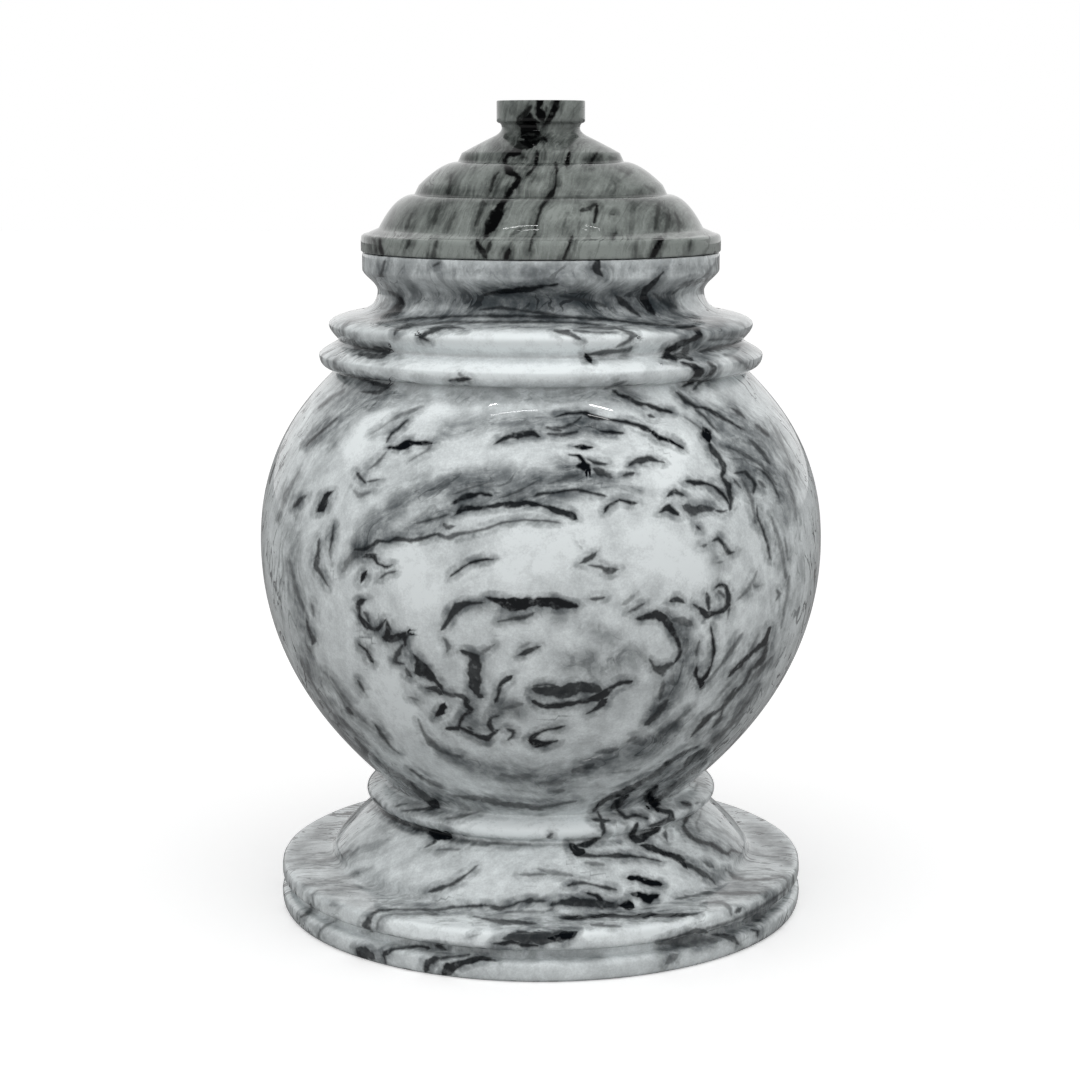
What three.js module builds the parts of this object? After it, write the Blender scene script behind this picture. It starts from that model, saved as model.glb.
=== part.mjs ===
// A turned marble cremation urn: a hollow, round-bellied body on a disc foot,
// and a stepped lid that lifts off. Millimetres, +Z up, the origin at the
// centre of the underside. Both pieces are turned about the Z axis.
import * as THREE from "three";

// Foot: a lower disc, a groove and an upper disc whose top is a flat plate
const restRadius = 93.4;
const lowerDiscRadius = 96.0;
const lowerDiscHeight = 7.7;
const lowerDiscLowEdge = 5.6;
const discGrooveRadius = 91.5;
const discGrooveHeight = 3.0;
const upperDiscRadius = 95.8;
const upperDiscHeight = 7.0;
const upperDiscLowEdge = 2.2;
const upperDiscTopEdge = 2.4;
const plateRise = 0.7;

// Skirt: the bell-shaped stem that rises from the plate
const skirtFilletWidth = 3.5;
const skirtFilletHeight = 3.9;
const skirtLowRadius = 76.3;
const skirtHeight = 15.0;
const skirtTopRadius = 60.8;
const skirtBulge = 0.7;

// Ring under the belly, over a shallow cove
const ringCoveRadius = 59.8;
const ringCoveHeight = 1.6;
const ringRadius = 64.3;
const ringLowEdge = 3.8;
const ringLowLean = 1.6;
const ringHeight = 9.6;
const ringTopRadius = 57.2;
const ringTopLean = 1.9;

// Belly: two smooth curves that meet upright at the widest girth. The slopes
// are degrees from level, and the pulls are how far each curve's handles reach.
const bellyRadius = 101.5;
const bellyTopRadius = 73.1;
const bellyLowHeight = 87.9;
const bellyLowSlope = 53.8;
const bellyLowStartPull = 7.9;
const bellyLowEndPull = 52.7;
const bellyHighHeight = 63.1;
const bellyHighSlope = 42.7;
const bellyHighStartPull = 23.6;
const bellyHighEndPull = 29.1;

// Neck: two rounded bands with a groove between them
const lowerBandRadius = 79.5;
const lowerBandLowEdge = 5.1;
const lowerBandHeight = 10.0;
const lowerBandTopLean = 3.9;
const bandGrooveRadius = 71.9;
const upperBandRadius = 75.9;
const upperBandLowEdge = 5.6;
const upperBandLowLean = 3.8;
const upperBandHeight = 9.5;
const upperBandTopRadius = 67.7;

// Scotia: the hollow moulding from the bands up to the lip
const scotiaRadius = 58.4;
const scotiaWaistHeight = 8.1;
const scotiaHeight = 12.2;

// Lip, which the lid's rim lines up with
const lipLowRadius = 61.1;
const lipRadius = 63.8;
const lipLowEdge = 3.4;
const lipLean = 2.4;
const lipHeight = 9.4;

// A lean is how far a moulding leaves the corner of a true quarter round. This
// one is for those that have none of their own.
const mouldingLean = 1.3;

// Hollow
const bellyWall = 10.0;
const neckWall = 10.0;
const mouthEdge = 1.0;

// Lid seat, and the plug that drops into the mouth
const seatGap = 0.3;
const seamEdge = 0.6;
const plugClearance = 1.2;
const plugDepth = 9.0;
const plugEdge = 1.0;

// Lid rim: an upright edge, and a sloping top up to the lowest tier
const rimOverhang = 0.4;
const rimHeight = 6.3;
const rimTopEdge = 2.0;
const rimSlopeRise = 1.9;

// Lid tiers from the lowest up. A tier is a dome, from its radius up to the
// foot of the next step, and its shoulder is where its face and its top meet.
const lowTierRadius = 57.8;
const lowTierHeight = 11.8;
const lowShoulderInset = 6.0;
const lowShoulderRise = 11.8;
const midStepRadius = 45.0;
const midStepHeight = 3.2;
const midTierRadius = 43.4;
const midTierHeight = 8.2;
const midShoulderInset = 8.3;
const midShoulderRise = 8.2;
const topStepRadius = 29.5;
const topStepHeight = 3.0;
const topTierRadius = 28.1;
const topTierHeight = 6.1;
const topTierBulge = 0.1;
const stemFootRadius = 16.2;

// Knob: a flat disc on a short waisted stem
const stemRadius = 13.9;
const stemCoveHeight = 2.6;
const stemFlareHeight = 1.9;
const knobUndercut = 0.5;
const knobRadius = 15.7;
const knobHeight = 7.7;
const knobEdge = 0.4;

// Lathe steps round the axis, and the longest facets along the outline
const turnSteps = 48;
const mouldingFacet = 4.8;
const bellyFacet = 11.5;
const liningFacet = 20;

// Polished stone
const bodyColor = 0xc9cfcf;
const lidColor = 0x8d9291;
const stoneRoughness = 0.16;

const mouthRadius = scotiaRadius - neckWall;

// Unit vector at an angle in degrees up from level, in the outline's plane
function rising(degrees) {
  const angle = THREE.MathUtils.degToRad(degrees);
  return new THREE.Vector2(Math.cos(angle), Math.sin(angle));
}

// A turned outline, drawn from point to point: x is the radius, y the height.
class Outline {
  constructor(radius, height) {
    this.points = [new THREE.Vector2(radius, height)];
  }

  get end() {
    return this.points.at(-1);
  }

  follow(curve, facet = mouldingFacet) {
    const steps = Math.max(2, Math.ceil(curve.getLength() / facet));
    this.points.push(...curve.getPoints(steps).slice(1));
    return this;
  }

  lineTo(radius, height) {
    this.points.push(new THREE.Vector2(radius, height));
    return this;
  }

  lineBy(radiusChange, heightChange) {
    return this.lineTo(this.end.x + radiusChange, this.end.y + heightChange);
  }

  bendTo(handleRadius, handleHeight, radius, height) {
    const handle = new THREE.Vector2(handleRadius, handleHeight);
    return this.follow(new THREE.QuadraticBezierCurve(this.end, handle, new THREE.Vector2(radius, height)));
  }

  // Leaves level and arrives upright, as the lower half of a round edge does
  turnUpright(radius, rise, lean = 0) {
    return this.bendTo(radius, this.end.y + lean, radius, this.end.y + rise);
  }

  // Leaves upright and arrives level, as the upper half of a round edge does
  turnLevel(radius, rise, lean = 0) {
    return this.bendTo(this.end.x, this.end.y + rise - lean, radius, this.end.y + rise);
  }

  // A hollow that turns back at the deep radius, halfway up
  coveTo(deepRadius, radius, rise) {
    return this.bendTo(deepRadius, this.end.y + rise / 2, radius, this.end.y + rise);
  }

  // A domed tier: the handle is the shoulder where its face and top would meet
  domeTo(radius, rise, shoulderInset, shoulderRise) {
    return this.bendTo(this.end.x - shoulderInset, this.end.y + shoulderRise, radius, this.end.y + rise);
  }

  // A slope up to a new radius that stands proud of its chord by the bulge
  bulgeTo(radius, rise, bulge) {
    const chord = new THREE.Vector2(radius - this.end.x, rise);
    const proud = new THREE.Vector2(chord.y, -chord.x).setLength(2 * bulge);
    const handle = this.end.clone().addScaledVector(chord, 0.5).add(proud);
    return this.bendTo(handle.x, handle.y, radius, this.end.y + rise);
  }
}

function bellyCurves(lowHeight) {
  const low = new THREE.Vector2(ringTopRadius, lowHeight);
  const girth = new THREE.Vector2(bellyRadius, lowHeight + bellyLowHeight);
  const high = new THREE.Vector2(bellyTopRadius, girth.y + bellyHighHeight);
  const lowHandle = low.clone().addScaledVector(rising(bellyLowSlope), bellyLowStartPull);
  const belowGirth = girth.clone().add(new THREE.Vector2(0, -bellyLowEndPull));
  const aboveGirth = girth.clone().add(new THREE.Vector2(0, bellyHighStartPull));
  const highHandle = high.clone().addScaledVector(rising(-bellyHighSlope), bellyHighEndPull);
  return [
    new THREE.CubicBezierCurve(low, lowHandle, belowGirth, girth),
    new THREE.CubicBezierCurve(girth, aboveGirth, highHandle, high),
  ];
}

function drawFoot(outline) {
  outline
    .lineTo(restRadius, 0)
    .turnUpright(lowerDiscRadius, lowerDiscLowEdge)
    .turnLevel(discGrooveRadius, lowerDiscHeight - lowerDiscLowEdge)
    .lineBy(0, discGrooveHeight)
    .turnUpright(upperDiscRadius, upperDiscLowEdge)
    .lineBy(0, upperDiscHeight - upperDiscLowEdge - upperDiscTopEdge)
    .turnLevel(upperDiscRadius - upperDiscTopEdge, upperDiscTopEdge)
    .lineTo(skirtLowRadius + skirtFilletWidth, outline.end.y + plateRise);
}

function drawStem(outline) {
  outline
    .turnUpright(skirtLowRadius, skirtFilletHeight)
    .bulgeTo(skirtTopRadius, skirtHeight, skirtBulge)
    .coveTo(ringCoveRadius, skirtTopRadius, ringCoveHeight)
    .turnUpright(ringRadius, ringLowEdge, ringLowLean)
    .turnLevel(ringTopRadius, ringHeight - ringCoveHeight - ringLowEdge, ringTopLean);
}

function drawNeck(outline) {
  outline
    .turnUpright(lowerBandRadius, lowerBandLowEdge)
    .turnLevel(bandGrooveRadius, lowerBandHeight - lowerBandLowEdge, lowerBandTopLean)
    .turnUpright(upperBandRadius, upperBandLowEdge, upperBandLowLean)
    .turnLevel(upperBandTopRadius, upperBandHeight - upperBandLowEdge, mouldingLean)
    .turnUpright(scotiaRadius, scotiaWaistHeight, mouldingLean)
    .turnLevel(lipLowRadius, scotiaHeight - scotiaWaistHeight, lipLean)
    .turnUpright(lipRadius, lipLowEdge, lipLean)
    .lineBy(0, lipHeight - lipLowEdge - seamEdge)
    .lineBy(-seamEdge, seamEdge);
}

// The belly's outline moved inwards by the wall, up to where the mouth begins
function bellyLining(curves) {
  const lining = [];
  for (const curve of curves) {
    const steps = Math.ceil(curve.getLength() / liningFacet);
    for (let step = 0; step <= steps; step += 1) {
      const along = curve.getTangent(step / steps);
      const inwards = new THREE.Vector2(-along.y, along.x);
      const point = curve.getPoint(step / steps).addScaledVector(inwards, bellyWall);
      const rises = lining.length === 0 || point.y > lining.at(-1).y;
      if (rises && point.x > mouthRadius) {
        lining.push(point);
      }
    }
  }
  return lining;
}

function drawHollow(outline, throatHeight, lining) {
  outline
    .lineTo(mouthRadius + mouthEdge, outline.end.y)
    .lineBy(-mouthEdge, -mouthEdge)
    .lineTo(mouthRadius, throatHeight);
  for (const point of lining.toReversed()) {
    outline.lineTo(point.x, point.y);
  }
  outline.lineTo(0, outline.end.y);
}

function drawBody() {
  const outline = new Outline(0, 0);
  drawFoot(outline);
  drawStem(outline);
  const belly = bellyCurves(outline.end.y);
  belly.forEach((curve) => outline.follow(curve, bellyFacet));
  drawNeck(outline);
  const seatHeight = outline.end.y;
  drawHollow(outline, seatHeight - lipHeight - scotiaHeight, bellyLining(belly));
  return { outline, seatHeight };
}

function drawLid(seatHeight) {
  const underside = seatHeight + seatGap;
  const plugRadius = mouthRadius - plugClearance;
  const rimRadius = lipRadius + rimOverhang;
  return new Outline(0, underside - plugDepth)
    .lineTo(plugRadius - plugEdge, underside - plugDepth)
    .lineBy(plugEdge, plugEdge)
    .lineTo(plugRadius, underside)
    .lineTo(rimRadius - seamEdge, underside)
    .lineBy(seamEdge, seamEdge)
    .lineBy(0, rimHeight - rimTopEdge - seamEdge)
    .turnLevel(rimRadius - rimTopEdge, rimTopEdge)
    .lineTo(lowTierRadius, underside + rimHeight + rimSlopeRise)
    .domeTo(midStepRadius, lowTierHeight, lowShoulderInset, lowShoulderRise)
    .lineBy(midTierRadius - midStepRadius, midStepHeight)
    .domeTo(topStepRadius, midTierHeight, midShoulderInset, midShoulderRise)
    .lineBy(topTierRadius - topStepRadius, topStepHeight)
    .bulgeTo(stemFootRadius, topTierHeight, topTierBulge)
    .turnUpright(stemRadius, stemCoveHeight, mouldingLean)
    .turnLevel(knobRadius - knobUndercut, stemFlareHeight)
    .lineBy(knobUndercut, knobUndercut)
    .lineBy(0, knobHeight - knobUndercut - knobEdge)
    .lineBy(-knobEdge, knobEdge)
    .lineBy(-knobRadius + knobEdge, 0);
}

function turned(name, outline, color) {
  const geometry = new THREE.LatheGeometry(outline.points, turnSteps);
  const material = new THREE.MeshStandardMaterial({ color, roughness: stoneRoughness, metalness: 0 });
  const mesh = new THREE.Mesh(geometry, material);
  mesh.name = name;
  mesh.rotation.x = Math.PI / 2;
  return mesh;
}

const body = drawBody();
const urn = new THREE.Group();
urn.add(turned("urn_body", body.outline, bodyColor));
urn.add(turned("lid", drawLid(body.seatHeight), lidColor));

export default urn;
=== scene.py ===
"""A polished marble cremation urn: a hollow body and a stepped lid, each turned
from its own block. The outlines repeat the solids' named sizes with fine steps,
and the marble is a solid texture with the front's own veins laid over it."""
import math

import bpy
import numpy as np
from mathutils import Matrix, Vector


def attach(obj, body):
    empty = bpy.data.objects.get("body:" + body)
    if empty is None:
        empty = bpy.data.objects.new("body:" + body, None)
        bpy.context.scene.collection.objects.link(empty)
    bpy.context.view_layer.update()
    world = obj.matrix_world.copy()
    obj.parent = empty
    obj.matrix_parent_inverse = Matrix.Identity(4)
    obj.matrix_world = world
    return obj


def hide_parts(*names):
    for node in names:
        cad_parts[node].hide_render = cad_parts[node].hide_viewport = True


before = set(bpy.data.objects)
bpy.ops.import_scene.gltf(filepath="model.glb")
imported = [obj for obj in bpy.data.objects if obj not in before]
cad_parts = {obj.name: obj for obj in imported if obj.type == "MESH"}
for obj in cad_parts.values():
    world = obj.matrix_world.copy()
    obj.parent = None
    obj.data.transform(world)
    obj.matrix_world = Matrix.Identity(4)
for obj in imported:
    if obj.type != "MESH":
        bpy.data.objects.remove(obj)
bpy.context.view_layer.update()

MM = 0.001

# Foot, in millimetres as every size below
REST_RADIUS = 93.4
LOWER_DISC_RADIUS = 96.0
LOWER_DISC_HEIGHT = 7.7
LOWER_DISC_LOW_EDGE = 5.6
DISC_GROOVE_RADIUS = 91.5
DISC_GROOVE_HEIGHT = 3.0
UPPER_DISC_RADIUS = 95.8
UPPER_DISC_HEIGHT = 7.0
UPPER_DISC_LOW_EDGE = 2.2
UPPER_DISC_TOP_EDGE = 2.4
PLATE_RISE = 0.7

# Skirt
SKIRT_FILLET_WIDTH = 3.5
SKIRT_FILLET_HEIGHT = 3.9
SKIRT_LOW_RADIUS = 76.3
SKIRT_HEIGHT = 15.0
SKIRT_TOP_RADIUS = 60.8
SKIRT_BULGE = 0.7

# Ring under the belly
RING_COVE_RADIUS = 59.8
RING_COVE_HEIGHT = 1.6
RING_RADIUS = 64.3
RING_LOW_EDGE = 3.8
RING_LOW_LEAN = 1.6
RING_HEIGHT = 9.6
RING_TOP_RADIUS = 57.2
RING_TOP_LEAN = 1.9

# Belly
BELLY_RADIUS = 101.5
BELLY_TOP_RADIUS = 73.1
BELLY_LOW_HEIGHT = 87.9
BELLY_LOW_SLOPE = 53.8
BELLY_LOW_START_PULL = 7.9
BELLY_LOW_END_PULL = 52.7
BELLY_HIGH_HEIGHT = 63.1
BELLY_HIGH_SLOPE = 42.7
BELLY_HIGH_START_PULL = 23.6
BELLY_HIGH_END_PULL = 29.1

# Neck bands
LOWER_BAND_RADIUS = 79.5
LOWER_BAND_LOW_EDGE = 5.1
LOWER_BAND_HEIGHT = 10.0
LOWER_BAND_TOP_LEAN = 3.9
BAND_GROOVE_RADIUS = 71.9
UPPER_BAND_RADIUS = 75.9
UPPER_BAND_LOW_EDGE = 5.6
UPPER_BAND_LOW_LEAN = 3.8
UPPER_BAND_HEIGHT = 9.5
UPPER_BAND_TOP_RADIUS = 67.7

# Scotia and lip
SCOTIA_RADIUS = 58.4
SCOTIA_WAIST_HEIGHT = 8.1
SCOTIA_HEIGHT = 12.2
LIP_LOW_RADIUS = 61.1
LIP_RADIUS = 63.8
LIP_LOW_EDGE = 3.4
LIP_LEAN = 2.4
LIP_HEIGHT = 9.4
MOULDING_LEAN = 1.3

# Hollow
BELLY_WALL = 10.0
NECK_WALL = 10.0
MOUTH_EDGE = 1.0

# Lid seat and plug
SEAT_GAP = 0.3
SEAM_EDGE = 0.6
PLUG_CLEARANCE = 1.2
PLUG_DEPTH = 9.0
PLUG_EDGE = 1.0

# Lid rim and tiers
RIM_OVERHANG = 0.4
RIM_HEIGHT = 6.3
RIM_TOP_EDGE = 2.0
RIM_SLOPE_RISE = 1.9
LOW_TIER_RADIUS = 57.8
LOW_TIER_HEIGHT = 11.8
LOW_SHOULDER_INSET = 6.0
LOW_SHOULDER_RISE = 11.8
MID_STEP_RADIUS = 45.0
MID_STEP_HEIGHT = 3.2
MID_TIER_RADIUS = 43.4
MID_TIER_HEIGHT = 8.2
MID_SHOULDER_INSET = 8.3
MID_SHOULDER_RISE = 8.2
TOP_STEP_RADIUS = 29.5
TOP_STEP_HEIGHT = 3.0
TOP_TIER_RADIUS = 28.1
TOP_TIER_HEIGHT = 6.1
TOP_TIER_BULGE = 0.1
STEM_FOOT_RADIUS = 16.2

# Knob
STEM_RADIUS = 13.9
STEM_COVE_HEIGHT = 2.6
STEM_FLARE_HEIGHT = 1.9
KNOB_UNDERCUT = 0.5
KNOB_RADIUS = 15.7
KNOB_HEIGHT = 7.7
KNOB_EDGE = 0.4

# Mesh steps: the outline's, and round the axis in front and behind
OUTER_STEP = 1.25
HIDDEN_STEP = 8.0
FRONT_STEPS = 232
BACK_STEPS = 46
FRONT_HALF_ANGLE = 84.0

MOUTH_RADIUS = SCOTIA_RADIUS - NECK_WALL

# Camera: the photograph's frame, and where the photograph was taken from
PHOTO_SIZE = 1080.0
CAMERA_DISTANCE = 850.6
CAMERA_HEIGHT = 281.2
CAMERA_PITCH = 9.80
CAMERA_FOCUS = 2364.7
AXIS_PIXEL = 540.85
SENSOR = 36.0
CAMERA_OFFSET = (PHOTO_SIZE / 2.0 - AXIS_PIXEL) / CAMERA_FOCUS * CAMERA_DISTANCE
CAMERA_PLACE = (CAMERA_OFFSET, -CAMERA_DISTANCE, CAMERA_HEIGHT)
# Light: the room's strength from in front and from behind, and rectangles overhead in millimetres
ROOM_LIGHT = (1.12, 0.44)
ROOM_GLOSS = (0.05, 0.9)
FLOOR_HALF = 6.0
FLOOR_BOUNCE = 0.33
FLOOR_GLOW = 0.35
SOFT_BOX_LIGHT = 0.24
SOFT_BOX_HEIGHT = 2100.0
TUBE_HEIGHT = 1700.0
TUBES = [
    ("left_tube", -440.0, -30.0, -248.0, 9.0, 80.0),
    ("right_tube", 410.0, 620.0, -248.0, 9.0, 80.0),
    ("left_tube_low", -440.0, -30.0, -386.0, 9.0, 12.0),
    ("right_tube_low", 410.0, 620.0, -386.0, 9.0, 12.0),
]
LID_TUBES = [
    ("lid_left_tube", -650.0, -40.0, -920.0, 8.0, 36.0),
    ("lid_right_tube", 730.0, 1010.0, -760.0, 8.0, 36.0),
    ("lid_left_tube_low", -650.0, -40.0, -1060.0, 8.0, 26.0),
    ("lid_right_tube_low", 730.0, 1010.0, -900.0, 8.0, 26.0),
]

# Drawn veins, in pixels of the photograph: how they are stored on the mesh
VEIN_FAR = 20.0
VEIN_MARGIN = 5.5
VEIN_SPACING = 13.0
FRONT_FADE = (0.02, 0.12)
OWN_FADE = (0.10, 0.50)

# Their ragged edges and grey surroundings: wave and grain in millimetres, the rest in pixels
VEIN_WAVE = 5.0
VEIN_SWELL = 7.5
VEIN_BLOT = 2.6
VEIN_GRAIN = 0.9
VEIN_SWAY = 2.3
VEIN_FINE = 1.3
VEIN_RAGGED = 2.6
VEIN_UNEVEN = 1.5
VEIN_THINNEST = -0.3
VEIN_NARROWEST = 0.62
VEIN_INK = (0.30, 0.46, 0.80, 1.0)
VEIN_STEADY = (0.5, 5.0, 0.35, 1.0)
VEIN_EDGE = (-1.5, 1.5)
VEIN_HALO = (-12.0, 2.0)
VEIN_SMOKE = (0.36, 0.62, 0.25, 1.15)
HALO_DEPTH = 0.95
INK_DEPTH = 1.0
# CLOUD_DEPTH sets how far the drawn clouds darken, their painted shade included.
CLOUD_DEPTH = 1.5
BASE_GREY = 0.22
CLOUD_VEINS = 0.5

# The two blocks of stone. Colours are as seen on screen, lengths in millimetres.


def shade(red, green, blue):
    """A colour from its values of 0 to 255 on screen."""
    linear = [((c / 255.0 + 0.055) / 1.055) ** 2.4 for c in (red, green, blue)]
    return (*linear, 1.0)


BODY_STONE = {
    "seed": 3.7, "normal": (0.06, -0.96, -0.26), "along": 34.0, "bed": 9.0, "fold": 17.0,
    "pale": shade(247, 253, 254), "grey": shade(50, 58, 63), "dark": shade(6, 11, 16),
    "clouds": (0.46, 0.74), "front_clouds": 0.35, "front_veins": 0.0, "own_dark": 0.9,
    "mottle": 0.80, "grain": 0.45, "streaks": 0.45, "polish": (0.015, 0.025),
}
LID_STONE = {
    "seed": 8.2, "normal": (0.92, -0.20, -0.25), "along": 34.0, "bed": 4.5, "fold": 5.0,
    "pale": shade(150, 156, 152), "grey": shade(30, 34, 33), "dark": shade(2, 3, 4),
    "clouds": (0.42, 0.68), "front_clouds": 0.7, "front_veins": 0.15, "own_dark": 0.85,
    "mottle": 0.80, "grain": 0.50, "streaks": 1.0, "polish": (0.015, 0.03),
}

# Veins on the front. Each has its darkness, then the points of
# its line: the photograph's pixel across and down, and its half width there.
LID_VEINS = {
    "knob, main": (1.0, [(541, 101, 4), (538, 108, 4), (540, 114, 7), (543, 120, 3)]),
    "knob, left branch": (0.9, [(531, 106, 1.4), (527, 112, 3), (523, 118, 4), (519, 122, 3)]),
    "knob, left shade": (0.35, [(516, 103, 3), (512, 112, 4)]),
    "knob, right": (1.0, [(557, 101, 3.4), (554, 108, 3.2), (551, 115, 2.8), (547, 122, 2.8), (543, 127, 1.4)]),
    "knob, right spot": (0.8, [(546, 107, 1.6), (546, 111, 1.6)]),
    "stem, mass": (1.0, [(530, 122, 10), (530, 130, 8.5), (530, 138, 8.5), (528, 145, 6)]),
    "stem, low mass": (1.0, [(536, 142, 3), (526, 144, 5), (519, 148, 3.6)]),
    "top tier, main": (1.0, [(521, 143, 4), (517, 149, 3.2), (510, 154, 2.6), (505, 159, 2.6), (505, 163, 2.4)]),
    "top tier, main, upper": (1.0, [(526, 143, 5), (519, 149, 4.6), (512, 154, 4)]),
    "top tier, left shade": (0.55, [(514, 142, 2), (508, 150, 3), (503, 156, 2)]),
    "top tier, notch": (0.95, [(538, 138.5, 1.6), (544, 139, 2), (547, 141.5, 1.2)]),
    "top tier, thin": (0.5, [(543, 142, 1), (545, 150, 1.2), (545, 160, 1)]),
    "top tier, inner arc": (1.0, [(537, 151, 1.4), (537, 158, 2), (535.6, 165, 1.8)]),
    "top tier, spot": (0.75, [(521, 158, 1), (524, 156.6, 1.8), (527, 158, 0.8)]),
    "top tier, right dash": (1.0, [(569.6, 152, 1.4), (568, 158, 2), (567, 164.6, 2.8)]),
    "top tier, second dash": (0.95, [(597, 153, 1.6), (594, 158, 2), (590, 164, 2.4)]),
    "top tier, second dash, side": (0.6, [(602, 155, 1), (598, 162, 1.6)]),
    "top tier, right haze": (0.4, [(574, 132, 2), (572, 141, 3), (570, 150, 2)]),
    "top tier, left spot": (0.4, [(468, 155, 1.6), (467, 160, 1.6)]),
    "stem, left shade": (0.5, [(505, 134, 2), (508, 140, 2.6)]),
    "middle tier, main": (1.0, [(505.6, 164, 2), (509, 171, 4), (515, 175, 3.6), (519.4, 178, 2.4), (516, 184, 2.6),
                                (512, 190, 2.8), (507, 196, 2.8)]),
    "middle tier, inner arc": (0.95, [(535.6, 165, 1.6), (531, 171, 1.8), (527, 175, 1.4)]),
    "middle tier, thin": (0.95, [(555.6, 163, 1.8), (557, 171, 1.6), (556, 180, 0.8), (555, 188, 1.2), (552, 194, 2.6),
                                 (546, 198, 2)]),
    "middle tier, left": (0.85, [(499, 172, 1), (495, 177, 2), (492, 184, 2.4), (491, 191, 2)]),
    "middle tier, left haze": (0.4, [(489, 188, 3), (487, 196, 3)]),
    "middle tier, far left": (0.65, [(451, 174, 1), (450, 182, 1.6), (448, 193, 2.4)]),
    "middle tier, left dash": (0.5, [(476, 166, 1.4), (474, 170, 1.2)]),
    "middle tier, spot": (0.6, [(536, 174.6, 1.2), (534, 178, 1), (532, 182, 1.6)]),
    "middle tier, right haze": (0.4, [(622, 168, 3), (630, 172, 3)]),
    "middle tier, right": (0.45, [(614, 182, 1.2), (616, 188, 1.4), (613, 194, 1.4)]),
    "middle tier, far right": (0.45, [(646, 186, 2), (654, 191, 2)]),
    "low tier, main": (1.0, [(507, 197, 3), (502, 204, 4), (498, 212, 5.4), (494, 221, 6), (490, 229, 5.4), (485, 237, 3)]),
    "low tier, inner": (0.9, [(548, 199, 2.4), (542, 206, 2), (539, 213, 1.6), (537, 222, 1.4), (534, 232, 1.2)]),
    "low tier, foot haze": (0.55, [(520, 229, 2), (511, 236, 2.4)]),
    "low tier, foot spot": (0.85, [(536, 232, 1.4), (532, 238, 2)]),
    "low tier, hook": (0.85, [(581, 211, 2), (587, 209.6, 2.2), (592, 206, 2.2), (596, 204, 2)]),
    "low tier, hook, leg": (0.95, [(597, 205, 1.4), (596, 213, 1.8), (594, 222, 2)]),
    "low tier, dot": (0.7, [(611, 214, 1), (613.6, 214.6, 1.4)]),
    "low tier, right tick": (0.75, [(616, 232, 1.4), (613, 238, 1.6)]),
    "low tier, right of middle": (0.5, [(566, 219, 1.6), (562, 233, 1.8)]),
    "low tier, right streak": (0.4, [(580, 222, 2), (578, 233, 2)]),
    "low tier, haze": (0.35, [(633, 203, 3), (631, 234, 3)]),
    "low tier, second haze": (0.6, [(659, 203, 2), (657, 216, 2.4), (655, 230, 1.6)]),
    "low tier, far right": (0.6, [(668, 212, 2), (668, 224, 2.4), (665, 236, 2)]),
    "low tier, end": (0.6, [(675, 212, 1.6), (679, 224, 2.2), (679, 232, 1.6)]),
    "low tier, left dark": (0.6, [(483, 203, 3), (480, 214, 3), (476, 226, 2)]),
    "low tier, left streak": (0.6, [(441, 203, 1.8), (437, 213, 2), (433, 224, 1.6)]),
    "low tier, left haze": (0.45, [(455, 212, 1.6), (450, 222, 2), (447, 232, 1.6)]),
    "low tier, far left": (0.65, [(412, 213, 1), (409, 221, 1.6), (406, 230, 2)]),
    "low tier, left end": (0.4, [(396, 205, 1.4), (391, 216, 1.6), (388, 226, 1.4)]),
    "tier foot, shade": (0.45, [(410, 193, 1.4), (440, 196, 1.6), (500, 197.6, 1.6), (580, 197.6, 1.6), (640, 196, 1.6), (668, 194, 1.2)]),
    "rim, left pair": (0.95, [(372, 238, 1.2), (376, 244, 1.8), (376, 252, 1.8)]),
    "rim, left edge": (1.0, [(379.6, 238, 1.4), (379.6, 245, 1.8), (382, 253, 2), (383, 257, 2)]),
    "rim, left shade": (0.5, [(370, 244, 1.8), (370, 250, 1.6)]),
    "rim, left dash": (0.75, [(410, 240, 1), (408.6, 244.6, 1.8), (406, 249, 1)]),
    "rim, grey dash": (0.7, [(437, 241, 1.6), (434, 250, 1.8), (433, 257, 1.6)]),
    "rim, main": (0.95, [(477, 240, 1.6), (479, 247, 3), (484, 253, 2.6), (486, 258, 1.4)]),
    "rim, main, side": (0.8, [(490, 242, 1.6), (488, 249, 2), (485, 254, 1.4)]),
    "rim, black": (1.0, [(509, 249, 1.8), (507.6, 254, 2.6), (506, 259, 3)]),
    "rim, middle": (0.85, [(532, 239, 2), (531, 245, 1.6), (529, 251, 1.2)]),
    "rim, right of middle": (0.95, [(572, 237, 2), (569, 245, 2.4), (566, 252, 2.4), (564, 259, 2)]),
    "rim, haze": (0.4, [(638, 239, 2), (635, 257, 2)]),
    "rim, right": (1.0, [(661, 238, 2.2), (658, 247, 2.4), (654, 254, 3), (652, 259, 3)]),
    "rim, far right": (0.5, [(691, 240, 1.4), (689, 250, 1.4)]),
}

LID_CLOUDS = {
    "rim, pale": (-0.3, [(364, 246, 9), (440, 247, 9), (540, 249, 9), (640, 247, 9), (718, 246, 9)]),
    "rim, pale right": (-0.35, [(600, 248, 8), (660, 247, 8), (718, 245, 8)]),
    "top tier, dark": (0.6, [(500, 146, 10), (520, 136, 10), (560, 142, 8)]),
    "top tier, face": (0.3, [(466, 160, 5), (520, 160, 5), (580, 160, 5), (614, 160, 5)]),
    "middle tier, foot": (0.35, [(440, 190, 6), (480, 192, 6), (530, 193, 4)]),
    "low tier, dark left": (0.2, [(392, 226, 8), (420, 210, 9), (450, 202, 9)]),
    "low tier, dark right": (0.3, [(650, 206, 9), (668, 220, 10)]),
    "low tier, pale middle": (-0.25, [(548, 216, 8), (566, 212, 9), (606, 214, 9)]),
}

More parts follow.
